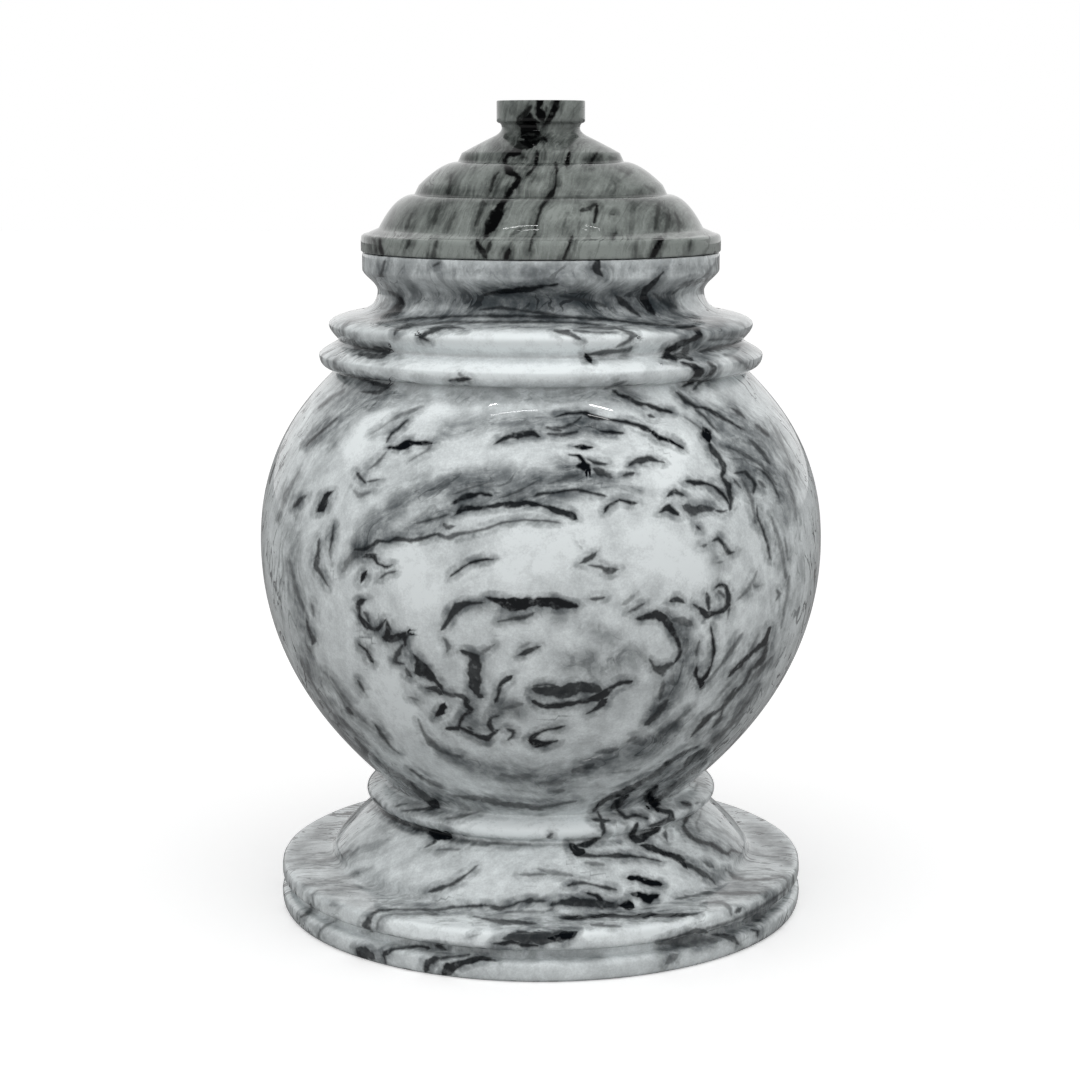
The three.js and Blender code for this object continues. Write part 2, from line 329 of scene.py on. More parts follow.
NECK_VEINS = {
    "under the seam": (0.9, [(598, 262, 3), (595, 269, 4), (602, 276, 1.5)]),
    "lip, left fall": (0.75, [(385, 261, 1.5), (380, 277, 1.8), (391, 292, 2.2), (400, 298, 2.6)]),
    "lip, left tick": (0.7, [(440, 262.6, 1), (434, 266, 1.4)]),
    "scotia, left foot": (0.95, [(400, 297, 2.4), (402, 304, 3), (396, 311, 4), (388, 315, 3.4), (380, 318, 2)]),
    "scotia, under the lip": (0.95, [(484, 294.5, 1), (502, 291.6, 2.6), (525, 290, 3.4), (542, 286, 2), (558, 284, 1)]),
    "scotia, middle line": (0.8, [(480, 310, 1), (502, 307.4, 1.8), (531, 311.7, 1.8), (571, 317, 1.2)]),
    "scotia, right of middle": (0.6, [(560, 296, 1), (584, 300, 2), (606, 306, 1.4)]),
    "scotia, right bend": (0.85, [(616, 296, 1.5), (622, 302, 3), (632, 310, 3), (640, 316, 1.4)]),
    "scotia, right s": (0.95, [(663, 272, 1.2), (655, 281, 2.4), (645, 290, 4), (643, 298, 4.4), (648, 307, 4), (654, 314, 2)]),
    "scotia, right streak": (0.6, [(654, 294, 1.5), (664, 302, 2.4), (676, 308, 1.6)]),
    "scotia, far right": (0.75, [(708, 280, 1.4), (694, 282, 3), (682, 286, 2.4), (672, 294, 1.4)]),
    "scotia, right edge": (0.5, [(714, 264, 1), (706, 276, 2), (700, 290, 1.4)]),
    "upper band, top line": (0.85, [(376, 323, 1), (420, 318, 1.2), (470, 316, 1.6), (531, 316, 2), (600, 319, 1.8), (674, 326, 1.2)]),
    "upper band, second line": (0.8, [(410, 326, 0.8), (440, 322.6, 1.2), (500, 321.6, 1.4), (552, 322, 1.4), (606, 325, 1)]),
    "upper band, left hook": (0.85, [(394.5, 335, 1), (396, 330, 2), (407, 326, 2), (425, 323, 1.4)]),
    "upper band, second hook": (0.9, [(429, 341, 1), (421.6, 337.5, 2.2), (429, 331.6, 2.6), (444, 327.4, 2), (465, 328, 1)]),
    "upper band, middle": (0.85, [(554, 331, 1.4), (568, 333, 2.6), (580, 339, 1.6)]),
    "upper band, middle line": (0.7, [(573, 330.6, 1), (602, 333, 1.4), (620, 331.6, 1)]),
    "upper band, loop": (0.75, [(580, 327.4, 1), (617, 328, 1.6), (634, 334.6, 2), (628, 342, 1.8), (616, 347.5, 1.4)]),
    "upper band, right bend": (0.95, [(674, 326, 2), (694, 327.4, 2.6), (700, 334.6, 3), (694, 340, 3), (680, 344.6, 3),
                                      (669, 350.4, 3), (664, 356, 2.6), (677, 359, 2)]),
    "upper band, right fill": (0.75, [(688, 346, 3), (684, 352, 4), (680, 358, 3)]),
    "upper band, far right": (0.6, [(708, 340, 1.4), (731, 339, 1.6), (746, 337, 1.2)]),
    "upper band, right rim": (0.5, [(704, 318, 1), (722, 320, 1.6), (742, 324, 1.6), (748, 330, 1)]),
    "upper band, left rim": (0.55, [(366, 319, 1), (349, 321, 1.5), (343, 327, 1.5), (344, 338, 1.5), (356, 346, 1)]),
    "groove, left": (0.85, [(336, 340, 1.2), (353, 340, 2.4), (357, 348, 2.4), (387, 350.4, 3.2), (381, 357, 3), (358, 354.6, 1.4)]),
    "groove, middle": (0.8, [(588, 354.6, 1.4), (602, 353, 2.4), (628, 350.4, 2.6), (632, 347, 1.2)]),
    "groove, drop": (1.0, [(586, 355, 2.4), (590, 361, 3.2)]),
    "groove, right": (0.9, [(662, 357.5, 1.6), (682, 356, 3), (692, 360, 2)]),
    "groove, far right": (0.75, [(700, 352, 1.6), (720, 347.5, 3), (743, 344.6, 2)]),
    "lower band, right s": (0.95, [(682, 362, 2), (694, 366, 3), (700, 372, 3.6), (694, 380.5, 3.4), (683, 386, 1.6)]),
    "lower band, outer s": (0.85, [(708, 362, 1.6), (715.6, 367.6, 2.2), (711, 376, 2.2), (700, 382, 2.4), (694, 389, 1.4)]),
    "lower band, far right": (0.5, [(724, 354, 1.5), (740, 360, 2), (748, 368, 1.5)]),
    "lower band, dash": (0.95, [(450, 380.6, 1.2), (459, 379.6, 2.6), (471, 379, 1)]),
    "lower band, spur": (0.6, [(459, 373, 1), (462, 377, 1.6)]),
    "lower band, foot line": (0.7, [(604, 389, 1), (617, 384.8, 1.8), (626, 381.6, 1)]),
    "lower band, thin left": (0.6, [(340, 355, 1), (334, 361, 1.4), (335, 367, 1.6), (346, 379, 1.6), (342, 389, 1)]),
    "band foot, left": (0.85, [(344, 374, 1), (366, 380, 2.2), (387, 387, 3), (379, 393, 2.4), (362, 392, 1.2)]),
}

BELLY_TOP_VEINS = {
    "left streak": (0.6, [(345, 390, 1.5), (334, 396, 2), (318, 408, 1.2)]),
    "left edge dark": (0.85, [(337, 418, 0.8), (328, 426, 1.6), (316, 436, 1.4), (306, 446, 0.8)]),
    "hook, upper": (0.5, [(424, 406, 1), (413, 410, 2.4), (397, 417, 1.6), (386, 424, 1), (370, 435, 0.8)]),
    "hook, neck": (0.9, [(409, 419, 0.8), (400, 427, 1.4), (391, 434, 1.8), (387, 441, 2)]),
    "hook, bar": (1.0, [(388, 448, 1.4), (399, 447.5, 2.2), (408, 444, 4), (412, 443, 2.5), (432, 443, 1.8)]),
    "hook, branch": (0.6, [(432, 444, 2), (427, 451, 1.4), (418, 455, 0.8), (410, 461, 0.7)]),
    "hook, tail": (0.65, [(386, 452, 1), (380, 460, 1.4), (369, 469, 0.8)]),
    "left spot": (0.85, [(358, 474, 2), (361, 478, 2.6), (365, 483, 1)]),
    "left small dash": (0.8, [(368, 482, 0.8), (373, 481, 1.3), (379, 479.6, 0.7)]),
    "left crumbs": (0.5, [(354, 491, 1.5), (359, 496, 2), (370, 492, 1.4)]),
    "left blob": (0.95, [(332, 492, 2), (326, 497, 4), (322, 507, 4), (317, 512, 2)]),
    "left blob, twin": (0.8, [(306, 496, 1.2), (300, 500, 3), (294, 507, 1.6)]),
    "left thin": (0.85, [(334, 525, 0.8), (332, 538, 1.8), (329, 553, 1)]),
    "patch left": (0.95, [(494, 444, 0.8), (504, 438, 2.5), (515, 435, 3.8), (530, 433, 4), (538, 436, 2.5)]),
    "patch left, next": (0.8, [(546, 427, 1.2), (553, 429, 2.2), (562, 431, 1)]),
    "top patch, outline": (0.95, [(555, 417, 0.8), (568, 413, 1.5), (586, 413, 2), (594, 417, 2.5), (606, 419, 1.4),
                                  (623, 421.5, 2), (638, 425, 2.4), (650, 431, 2)]),
    "top patch, tail": (1.0, [(652, 432, 2), (659, 438, 2.8), (670, 440.5, 2.4), (683, 448, 1.2)]),
    "top patch, left side": (0.8, [(546, 428, 1.2), (562, 427.5, 1.8), (574, 424, 1.4), (581, 417, 1.5)]),
    "top patch, foot": (0.85, [(547, 434, 1), (562, 435, 1.8), (577, 432, 1.2)]),
    "top patch, bar": (0.95, [(600, 431, 1), (612, 432, 2.2), (623, 433, 1.5)]),
    "top right dashes": (0.95, [(614, 391, 2.4), (619, 396, 1.8), (628, 397.5, 1.8), (637, 403.5, 2.6),
                                (648, 405, 2.6), (660, 410, 2), (673, 412.5, 0.8)]),
    "top right, seam dash": (0.8, [(613, 384, 1), (624, 381.5, 0.8)]),
    "top right, spot": (0.85, [(649, 415.5, 2), (654, 417.5, 0.8)]),
    "shoulder dark": (0.9, [(676, 392, 1), (687, 401, 2.2), (696, 407, 2), (708, 409, 1.8), (719, 416, 2.6),
                            (729, 421, 2.2), (744, 430, 1.4)]),
    "shoulder thin": (0.8, [(695, 410, 1.2), (705, 417, 1.6), (712, 425, 1.6), (718, 432, 0.8)]),
    "shoulder, outer dash": (0.8, [(731, 408, 1), (738, 412, 2), (745, 418, 0.8)]),
    "right trunk, top": (0.6, [(685, 417, 1), (698, 426, 1.4), (704, 431, 2)]),
    "right trunk, blob": (1.0, [(704, 429, 3), (707, 435, 5), (709, 442, 2)]),
    "right trunk": (0.9, [(709, 443, 1.5), (712, 451, 2.6), (719, 457, 2), (724, 467, 2.6), (722, 477, 2),
                          (728, 486, 4.6), (731, 499, 2.4), (730, 510, 1)]),
    "right loop": (0.85, [(735, 473, 1.2), (745, 472, 1.6), (753, 480, 2), (755, 486, 2.2), (753, 494, 1.2)]),
    "right loop, inner": (0.75, [(734, 480, 1.4), (737, 484, 1.4), (741, 488, 1)]),
    "right arch": (0.95, [(686, 481, 1.2), (695, 482.5, 3.2), (705, 483, 1.6), (715, 487, 1.6), (724, 495, 2.2), (730, 505, 1.4)]),
    "right arch, cap": (0.9, [(668, 496, 2), (674, 491.5, 2.2), (683, 495, 1.2)]),
    "right arch, left leg": (0.95, [(660, 512, 1), (668, 508, 4), (678, 515, 2)]),
    "right arch, mass": (0.8, [(685, 507, 3.6), (694, 511, 5), (703, 507.5, 3), (713, 509, 2)]),
    "right arch, end": (0.85, [(716, 511, 1), (722, 512, 2.4), (727, 510, 1)]),
    "right spot": (0.85, [(697, 527, 1.8), (700, 530, 1.2)]),
    "outer cluster": (0.75, [(756, 425, 2), (762, 430, 3.4), (768, 436, 2)]),
    "outer cluster, low": (0.7, [(749, 440, 1.6), (756, 446, 2.4), (764, 454, 1.6), (770, 464, 1)]),
    "outer line": (0.8, [(757, 468, 1.4), (767, 475, 1.8), (774, 486, 1.4), (779, 498, 1)]),
    "outer line, inner": (0.65, [(759, 481, 1.6), (765, 488, 1)]),
    "outer thin line": (0.9, [(757, 506, 0.8), (757.5, 518, 2), (763, 530, 1.6), (768, 545, 1.5), (770, 559, 1)]),
    "edge streak, upper": (0.5, [(770, 420, 1), (781, 440, 1.4), (790, 462, 1.2), (797, 484, 1)]),
    "edge streak, lower": (0.45, [(784, 470, 1), (792, 494, 1.6), (797, 520, 1)]),
}

BELLY_MIDDLE_VEINS = {
    "right limb, high": (0.6, [(726, 446, 1.2), (744, 454, 2), (762, 466, 2), (776, 484, 1.4)]),
    "right limb, inner": (0.6, [(742, 478, 1.2), (752, 500, 2), (757, 524, 1.6)]),
    "right limb, outer": (0.55, [(771, 516, 1.2), (781, 545, 2), (786, 580, 1.6)]),
    "right limb, middle dash": (0.55, [(737, 600, 1.2), (748, 590, 1.8), (757, 572, 1.4)]),
    "right limb, low": (0.6, [(700, 690, 1.6), (722, 664, 2.4), (742, 634, 2)]),
    "right limb, low, outer": (0.5, [(716, 700, 1.4), (742, 668, 2), (760, 632, 1.6)]),
    "left limb, high": (0.5, [(300, 470, 1.2), (286, 494, 2), (278, 522, 1.6)]),
    "left limb, middle": (0.5, [(290, 560, 1.4), (296, 590, 2), (308, 618, 1.6)]),
    "left limb, low": (0.5, [(330, 676, 1.4), (350, 706, 2.2), (374, 730, 1.6)]),
    "arch, upper veins": (0.95, [(453, 503, 2), (465, 497, 2.6), (481, 493, 2.2), (490, 495, 3)]),
    "arch, thin top": (0.6, [(453, 494, 0.8), (473, 487, 1.4), (493, 481, 1)]),
    "arch, long vein": (0.95, [(456, 514, 2.4), (463, 508.5, 3.4), (482, 508, 2), (501, 504, 2.6), (518, 505, 4.2),
                               (527, 502.5, 3), (542, 506, 1.8), (555, 510, 3.4), (565, 512, 4), (575, 518, 3)]),
    "arch, middle lines": (0.7, [(501, 497, 1), (519, 491, 1.5), (537, 481, 1)]),
    "arch, right line": (0.9, [(534, 496, 1), (539, 494, 3), (555, 492.5, 1.6), (577, 489.4, 1.8), (592, 493, 2),
                               (606, 496, 1.2)]),
    "arch, right crest": (0.5, [(549, 484, 1), (567, 478, 2), (580, 474, 1)]),
    "arch, lower edge left": (0.85, [(355, 550, 2), (366, 549, 2), (378, 541, 2.6), (388, 542, 1.8), (396, 539, 2.4),
                                     (412, 540, 2.6), (427, 537, 2), (437, 534, 1.4)]),
    "arch, lower edge right": (0.75, [(437, 534, 1.2), (447, 538, 2.8), (458, 534, 1.8), (473, 532, 1.4),
                                      (488, 528, 1.4), (504, 522, 1.2), (527, 520, 1), (547, 521, 1.1), (560, 523, 0.7)]),
    "arch, left fringe": (0.7, [(415, 524, 1.2), (433, 519, 2), (447, 515, 1.2)]),
    "arch, fringe blob": (0.8, [(444, 524, 1.6), (447, 528, 2.6), (455, 526, 1)]),
    "arch, dark foot": (0.85, [(363, 557, 1.2), (370, 556, 3), (376, 555, 1.6)]),
    "knot": (1.0, [(574, 446.5, 1), (582, 447.4, 2.4), (593, 447.6, 0.8)]),
    "knot, core": (1.0, [(569, 455, 0.8), (580, 456, 2), (586, 466, 5), (577, 466, 2)]),
    "knot, right": (0.9, [(588, 459, 1.2), (594, 463, 2), (607, 464, 1.2)]),
    "knot, tail": (0.85, [(594, 469, 2), (601, 473, 3.6), (611, 477, 2)]),
    "knot, dash": (0.85, [(622, 476, 0.8), (628, 474, 2.6), (634, 473, 1.2)]),
    "shoulder dash": (0.9, [(630, 465, 2), (637, 460, 3.2), (647, 458.6, 3), (653, 460, 2), (664, 462.5, 0.8)]),
    "middle arch": (0.95, [(605, 511, 2.2), (609, 505, 2.2), (619, 500, 1.6), (631, 502.5, 2.6), (636, 503, 1.4)]),
    "left limb upper": (0.85, [(319, 540, 1.4), (318, 554, 2), (316, 567, 3), (322, 576, 1.6), (328, 586, 0.8)]),
    "left limb upper, twin": (0.6, [(332, 540, 1), (330, 553, 1.8), (331, 560, 0.8)]),
    "below the arch": (0.95, [(366, 555, 2), (374, 556, 2.4), (377, 563, 1.8), (386, 567.5, 2), (392, 565, 1)]),
    "below the arch, wing": (0.8, [(380, 578, 1.4), (387, 573, 2), (396, 571.5, 1)]),
    "below the arch, grey": (0.5, [(371, 548, 4), (357, 553, 4), (348, 562, 3), (343, 571, 2)]),
    "dot": (1.0, [(361, 582, 2.2), (363, 577, 3), (366, 572, 2.2)]),
    "comma": (0.95, [(365, 600, 1.6), (359, 601.5, 2), (357.5, 609, 2), (361, 620, 2.6), (369, 628, 2.8),
                     (377, 630, 2.4), (384, 623, 2), (386, 620, 1.6)]),
    "comma, tooth": (0.8, [(364, 612, 1), (367, 615, 1.8), (369, 622, 1)]),
    "chain, first": (0.95, [(386, 621, 2), (388, 631, 3.4), (386, 639, 5), (395, 639, 3.4), (405, 634, 3.4), (405, 645, 2.4)]),
    "chain, loop": (0.85, [(403, 645, 2.4), (396, 655, 3.4), (395, 662, 2.4), (403, 664, 1.6)]),
    "chain, second": (0.95, [(414, 655, 1.6), (418, 661, 3), (421, 668, 6), (433, 678, 4), (440, 686, 3), (444, 693, 1.4)]),
    "chain, side": (0.8, [(406, 668, 1.4), (408, 673, 2.6), (412, 677, 1)]),
    "chain, foot": (0.9, [(426, 688, 2), (436, 689, 4), (441, 693, 3)]),
    "chain, tail": (0.85, [(444, 692, 1.4), (453, 694, 1.6), (463, 696, 2.4), (468, 702, 2.6)]),
    "left dash": (0.95, [(358.5, 644, 1), (366, 650, 1.8), (370, 657, 2), (373, 662, 1.4)]),
    "left crumbs low": (0.8, [(358, 681, 1.6), (361, 686, 2), (364, 691, 1.8)]),
    "left small crumbs": (0.6, [(409, 697, 0.8), (414, 699, 1.8), (418, 700, 0.8)]),
    "stray dash": (0.95, [(451, 576, 2), (459, 570, 1.6), (471, 563, 1.4), (484, 559, 1.8), (493, 559, 0.8)]),
    "bar, left end": (0.9, [(442, 629, 2.2), (447, 622, 2.6), (452, 613, 4), (458, 606, 4), (468, 603, 2.2), (483, 603, 1)]),
    "bar, below": (0.6, [(443, 638, 1), (447, 643, 2), (449, 648, 3), (447, 652, 1)]),
    "bar": (1.0, [(487, 597.5, 1.6), (497, 600, 4), (508, 604, 6.4), (524, 604, 5), (540, 602, 4.6),
                  (556, 604, 6), (567, 605, 3.6), (577, 606, 2)]),
    "bar, fringe": (0.75, [(498, 622, 0.8), (513, 619, 2), (524, 617.5, 2), (534, 613, 1)]),
    "bar, stray": (0.85, [(590, 599, 1.2), (597, 598.5, 2.4), (605, 597, 1)]),
    "column": (0.9, [(462, 651.5, 2.4), (469, 654, 3), (475, 658, 5.4), (474, 672, 6.2), (474, 686, 5.4), (479, 696, 2.4)]),
    "column, branch": (0.6, [(482, 653, 2.4), (486, 650, 2), (495, 644, 1)]),
    "second column": (0.95, [(511, 677, 2.6), (505, 681, 3.2), (500, 686, 2.6), (499, 694, 2.2), (496, 701, 2.6)]),
    "centre dash": (0.9, [(518, 655, 1), (525, 652, 2.8), (534, 648.5, 2.4), (540, 646.5, 1)]),
    "centre dash, faint": (0.4, [(519, 648, 1.4), (524, 645, 2), (530, 643, 1)]),
    "upper right tick": (0.85, [(595, 553.5, 2.4), (590, 558, 2.8), (581, 562.5, 2)]),
    "upper right bar": (0.85, [(589, 565.5, 1), (600, 566.5, 2.6), (608, 571, 4), (617, 569.5, 2)]),
    "right spot, upper": (0.4, [(580, 546, 1.6), (582, 548, 1)]),
    "right bar, grey": (0.8, [(629, 612, 1.6), (636, 608, 2.8), (644, 603.6, 1.2)]),
    "right bar, faint": (0.45, [(623, 604, 2), (630, 600, 2), (634, 596, 1.6)]),
    "crescent": (0.95, [(637, 618, 2), (648, 616.5, 3), (657, 615, 4.6), (666, 619, 5.6), (671, 628, 3.2),
                        (675, 636, 2.2), (680, 646, 2), (680.5, 654, 2), (675, 662, 2)]),
    "crescent, foot": (0.8, [(674, 663, 2), (667, 666, 3), (661, 671, 4.4), (654, 667, 3), (650, 660, 1.4)]),
    "crescent, cap": (0.9, [(670, 601, 1.2), (677, 599, 2.6), (684, 603, 1.4)]),
    "crescent, side": (0.6, [(672, 620, 3), (684, 621, 3.6), (691, 624, 2.4)]),
    "ring loop": (0.95, [(694, 605, 1.2), (701, 609, 2.6), (707, 616, 4), (714, 613, 2.6), (722, 612, 2.8),
                         (728, 605, 2.8), (728.5, 594, 2.4), (726, 586, 1.6), (720, 584, 1.4), (715, 589, 1.4)]),
    "ring loop, left": (0.9, [(707, 594, 2), (708, 602, 2.4), (708.5, 610, 2.4)]),
    "ring loop, inner": (0.7, [(719, 591, 1.6), (724, 597, 1.8)]),
    "ring loop, tail": (0.8, [(729, 607, 1.6), (728.5, 613, 1.6), (727.5, 619, 0.8)]),
    "long loop": (1.0, [(711, 627, 0.8), (713, 640, 1.5), (713.8, 652, 1.8), (712, 664, 1.8), (706, 677, 2.6),
                        (700, 682.5, 3.8), (695.6, 676, 2), (697, 665, 1.2)]),
    "long loop, spots": (0.7, [(699.5, 641, 2), (697, 647, 1), (696, 654, 2.2)]),
    "right crumbs": (0.9, [(713, 541, 1.4), (718, 538, 2), (723.5, 544, 2), (729, 553, 2.6), (734, 552, 1.2)]),
    "right crumbs, dot": (0.7, [(702, 546, 1.6), (706, 545, 1.6)]),
    "right crumbs, low": (0.55, [(718, 562.5, 1.4), (722, 561.6, 1.6)]),
    "right limb hook": (0.55, [(752, 582, 1), (755, 587, 1.6), (759, 586, 1)]),
    "right limb line": (0.75, [(768, 541, 1), (768.8, 552, 1.6), (771, 559, 1.6)]),
    "right limb edge": (0.6, [(785, 538, 1.2), (787, 550, 1.8), (788, 560, 1)]),
    "right limb spot": (0.7, [(777, 590, 1), (779.5, 594, 2), (776, 601, 1)]),
    "right limb streak": (0.55, [(789, 575, 1), (788, 592, 1.6), (784, 612, 1.2), (781, 628, 1)]),
}

BELLY_LOW_VEINS = {
    "left limb fork": (0.85, [(306, 619, 1.4), (309, 630, 2), (314, 640, 2.4), (312, 645, 1)]),
    "left limb fork, outer": (0.6, [(311, 603, 1), (313, 611, 1.6), (314, 617, 0.8)]),
    "left limb dash": (0.65, [(307, 645, 1.6), (311, 653, 1.2)]),
    "left limb line": (0.55, [(300, 656, 1), (309, 678, 1.2), (322, 700, 1.4), (337, 719, 1)]),
    "left limb line, inner": (0.55, [(324, 671, 0.8), (335, 689, 1.2), (347, 706, 1.4), (357, 716, 1)]),
    "left limb spot": (0.85, [(347, 707, 1.4), (350, 711, 2.4), (353, 715, 0.8)]),
    "left limb long": (0.6, [(329, 702, 1), (338, 716, 1.8), (350, 729, 1.6), (358, 736, 1.2)]),
    "left limb low": (0.8, [(355, 738, 1), (366, 751, 2), (379, 762, 1.8), (392, 770, 1)]),
    "left limb inner": (0.85, [(375, 725, 1), (384, 738, 2.4), (390, 746, 1.8), (399, 753, 1)]),
    "ink drop": (1.0, [(436, 716, 1.4), (441, 711, 4), (444, 705, 3)]),
    "ring, upper": (0.8, [(427, 691, 1), (443, 691.5, 2), (455, 696, 2)]),
    "ring, left": (0.95, [(466, 698, 2.4), (466, 705, 2.4), (472, 710, 2), (464, 715, 2), (460, 722, 2),
                          (459, 728, 2), (447, 729, 2.2)]),
    "ring, foot": (0.95, [(459, 727, 1.6), (467, 731, 1.8), (480, 737, 2.6), (487, 739, 2.8), (493, 733, 2), (498, 730, 1.4)]),
    "ring, right": (0.9, [(493, 732, 2), (489, 725, 2.4), (491, 718, 2.4), (498, 716, 1.4)]),
    "ring, spots": (0.85, [(468, 727, 1.4), (472, 729, 1.6)]),
    "ring, top crumbs": (0.9, [(474, 691, 2), (479, 695, 3.4), (483, 697, 1.4)]),
    "grey line": (0.5, [(503, 709, 2), (515, 706, 3), (522, 704, 2)]),
    "big loop, mass": (0.85, [(533, 689, 2), (545, 690, 5), (560, 692, 6.4), (576, 688, 6), (590, 687, 6), (600, 690, 3)]),
    "big loop, top line": (0.8, [(534, 686, 1.4), (549, 684, 1.8), (556, 686, 1)]),
    "big loop, under": (0.95, [(533, 701, 2), (541, 706, 2.2), (553, 706.8, 2.6), (572, 703, 3), (588, 701, 3.2),
                               (602, 696, 4), (611, 688, 3), (620, 683, 2.6), (632, 681, 1.6)]),
    "big loop, heel": (0.95, [(605, 701, 4), (598, 708, 3.2), (587, 713.5, 1.4)]),
    "small loop, left": (0.85, [(507, 729, 1), (514, 731.6, 2.2), (512, 737, 1.8), (507, 740, 0.8)]),
    "small loop, top": (0.95, [(530, 740, 2.6), (536, 734, 2.2), (547, 730, 1.8), (560, 727.5, 1.6), (565, 726, 0.8)]),
    "small loop, foot": (1.0, [(530, 741, 2.6), (537, 744, 4), (548, 743, 2.2), (558, 741, 0.8)]),
    "left sweep": (0.65, [(418, 719, 0.8), (424, 734, 1.8), (430, 743, 3), (441, 751, 2), (452, 755, 1.8), (463, 757, 1.4)]),
    "sweep, core left": (0.5, [(500, 775, 1), (515, 777, 2.4), (531, 776, 2)]),
    "sweep, core middle": (0.55, [(541, 783, 1.6), (556, 784, 2.6), (566, 780, 1.4)]),
    "sweep, core right": (0.6, [(572, 771, 1.6), (583, 769, 3), (594, 764, 1.6)]),
    "sweep, upper right": (0.55, [(596, 753, 1.6), (606, 752, 2.8), (618, 749, 1.6)]),
    "sweep, dash": (0.7, [(553, 791.5, 1), (559, 791, 2.2), (565, 790, 1)]),
    "sweep, right dash": (0.5, [(612, 773, 1), (624, 772, 1.8), (636, 770, 1)]),
    "sweep, right spot": (0.55, [(627, 742, 1), (632, 739, 2.4), (637, 737, 1)]),
    "falling grey": (0.75, [(666, 702, 4), (658, 713, 4), (646, 724, 2.6)]),
    "falling grey, upper": (0.65, [(663, 682, 2.2), (662, 692, 3), (660, 699, 2)]),
    "falling grey, lower": (0.45, [(690, 709, 1.4), (676, 722, 2.6), (657, 736, 2)]),
    "right fork": (0.95, [(770, 627, 1.6), (765, 642, 2.8), (755, 650, 2.2), (744, 660, 2), (734, 671, 2.2), (729, 676, 1.6)]),
    "right fork, long": (0.85, [(767, 645, 1.6), (762, 660, 2.6), (750, 671, 2.2), (744, 684, 1.8), (731, 697, 2.2),
                                (722, 709, 2.4), (710, 716, 1.6)]),
    "right fork, outer": (0.6, [(772, 657, 1), (763, 668, 2), (754, 677, 2.8), (748, 683, 1.4)]),
    "right limb run": (0.7, [(760, 683, 1.2), (750, 699, 1.6), (740, 712, 1.8), (730, 727, 2), (712, 742, 2.2)]),
    "right limb run, inner": (0.85, [(736, 688, 1.4), (724, 704, 2.2), (721, 716, 2), (712, 728, 1)]),
    "wedge": (0.9, [(714, 711, 1.4), (707, 718, 3), (702, 724, 2.6), (691, 737, 1)]),
    "band, outer": (0.9, [(709, 749, 2.4), (700, 755, 4.6), (690, 760, 3.4), (684, 768, 2), (672, 777, 2.2)]),
    "band, upper edge": (0.9, [(698, 746, 1.2), (685, 752, 2.2), (670, 762, 2.4), (658, 772, 2.6), (646, 780, 2)]),
    "band, core": (0.8, [(706, 762, 1.6), (691, 772, 2.6), (676, 784, 2.6), (664, 795, 3.2)]),
    "band, low edge": (0.95, [(646, 779, 2.4), (635, 787, 3), (623, 793, 3.2), (609, 798, 2.4), (600, 804, 2.4), (594, 811, 2)]),
    "band, mass": (1.0, [(656, 787, 3), (648, 796, 5), (653, 804, 4.4), (662, 797, 3)]),
    "band, left mass": (0.95, [(627, 796, 3), (618, 804, 5), (612, 808, 2)]),
}

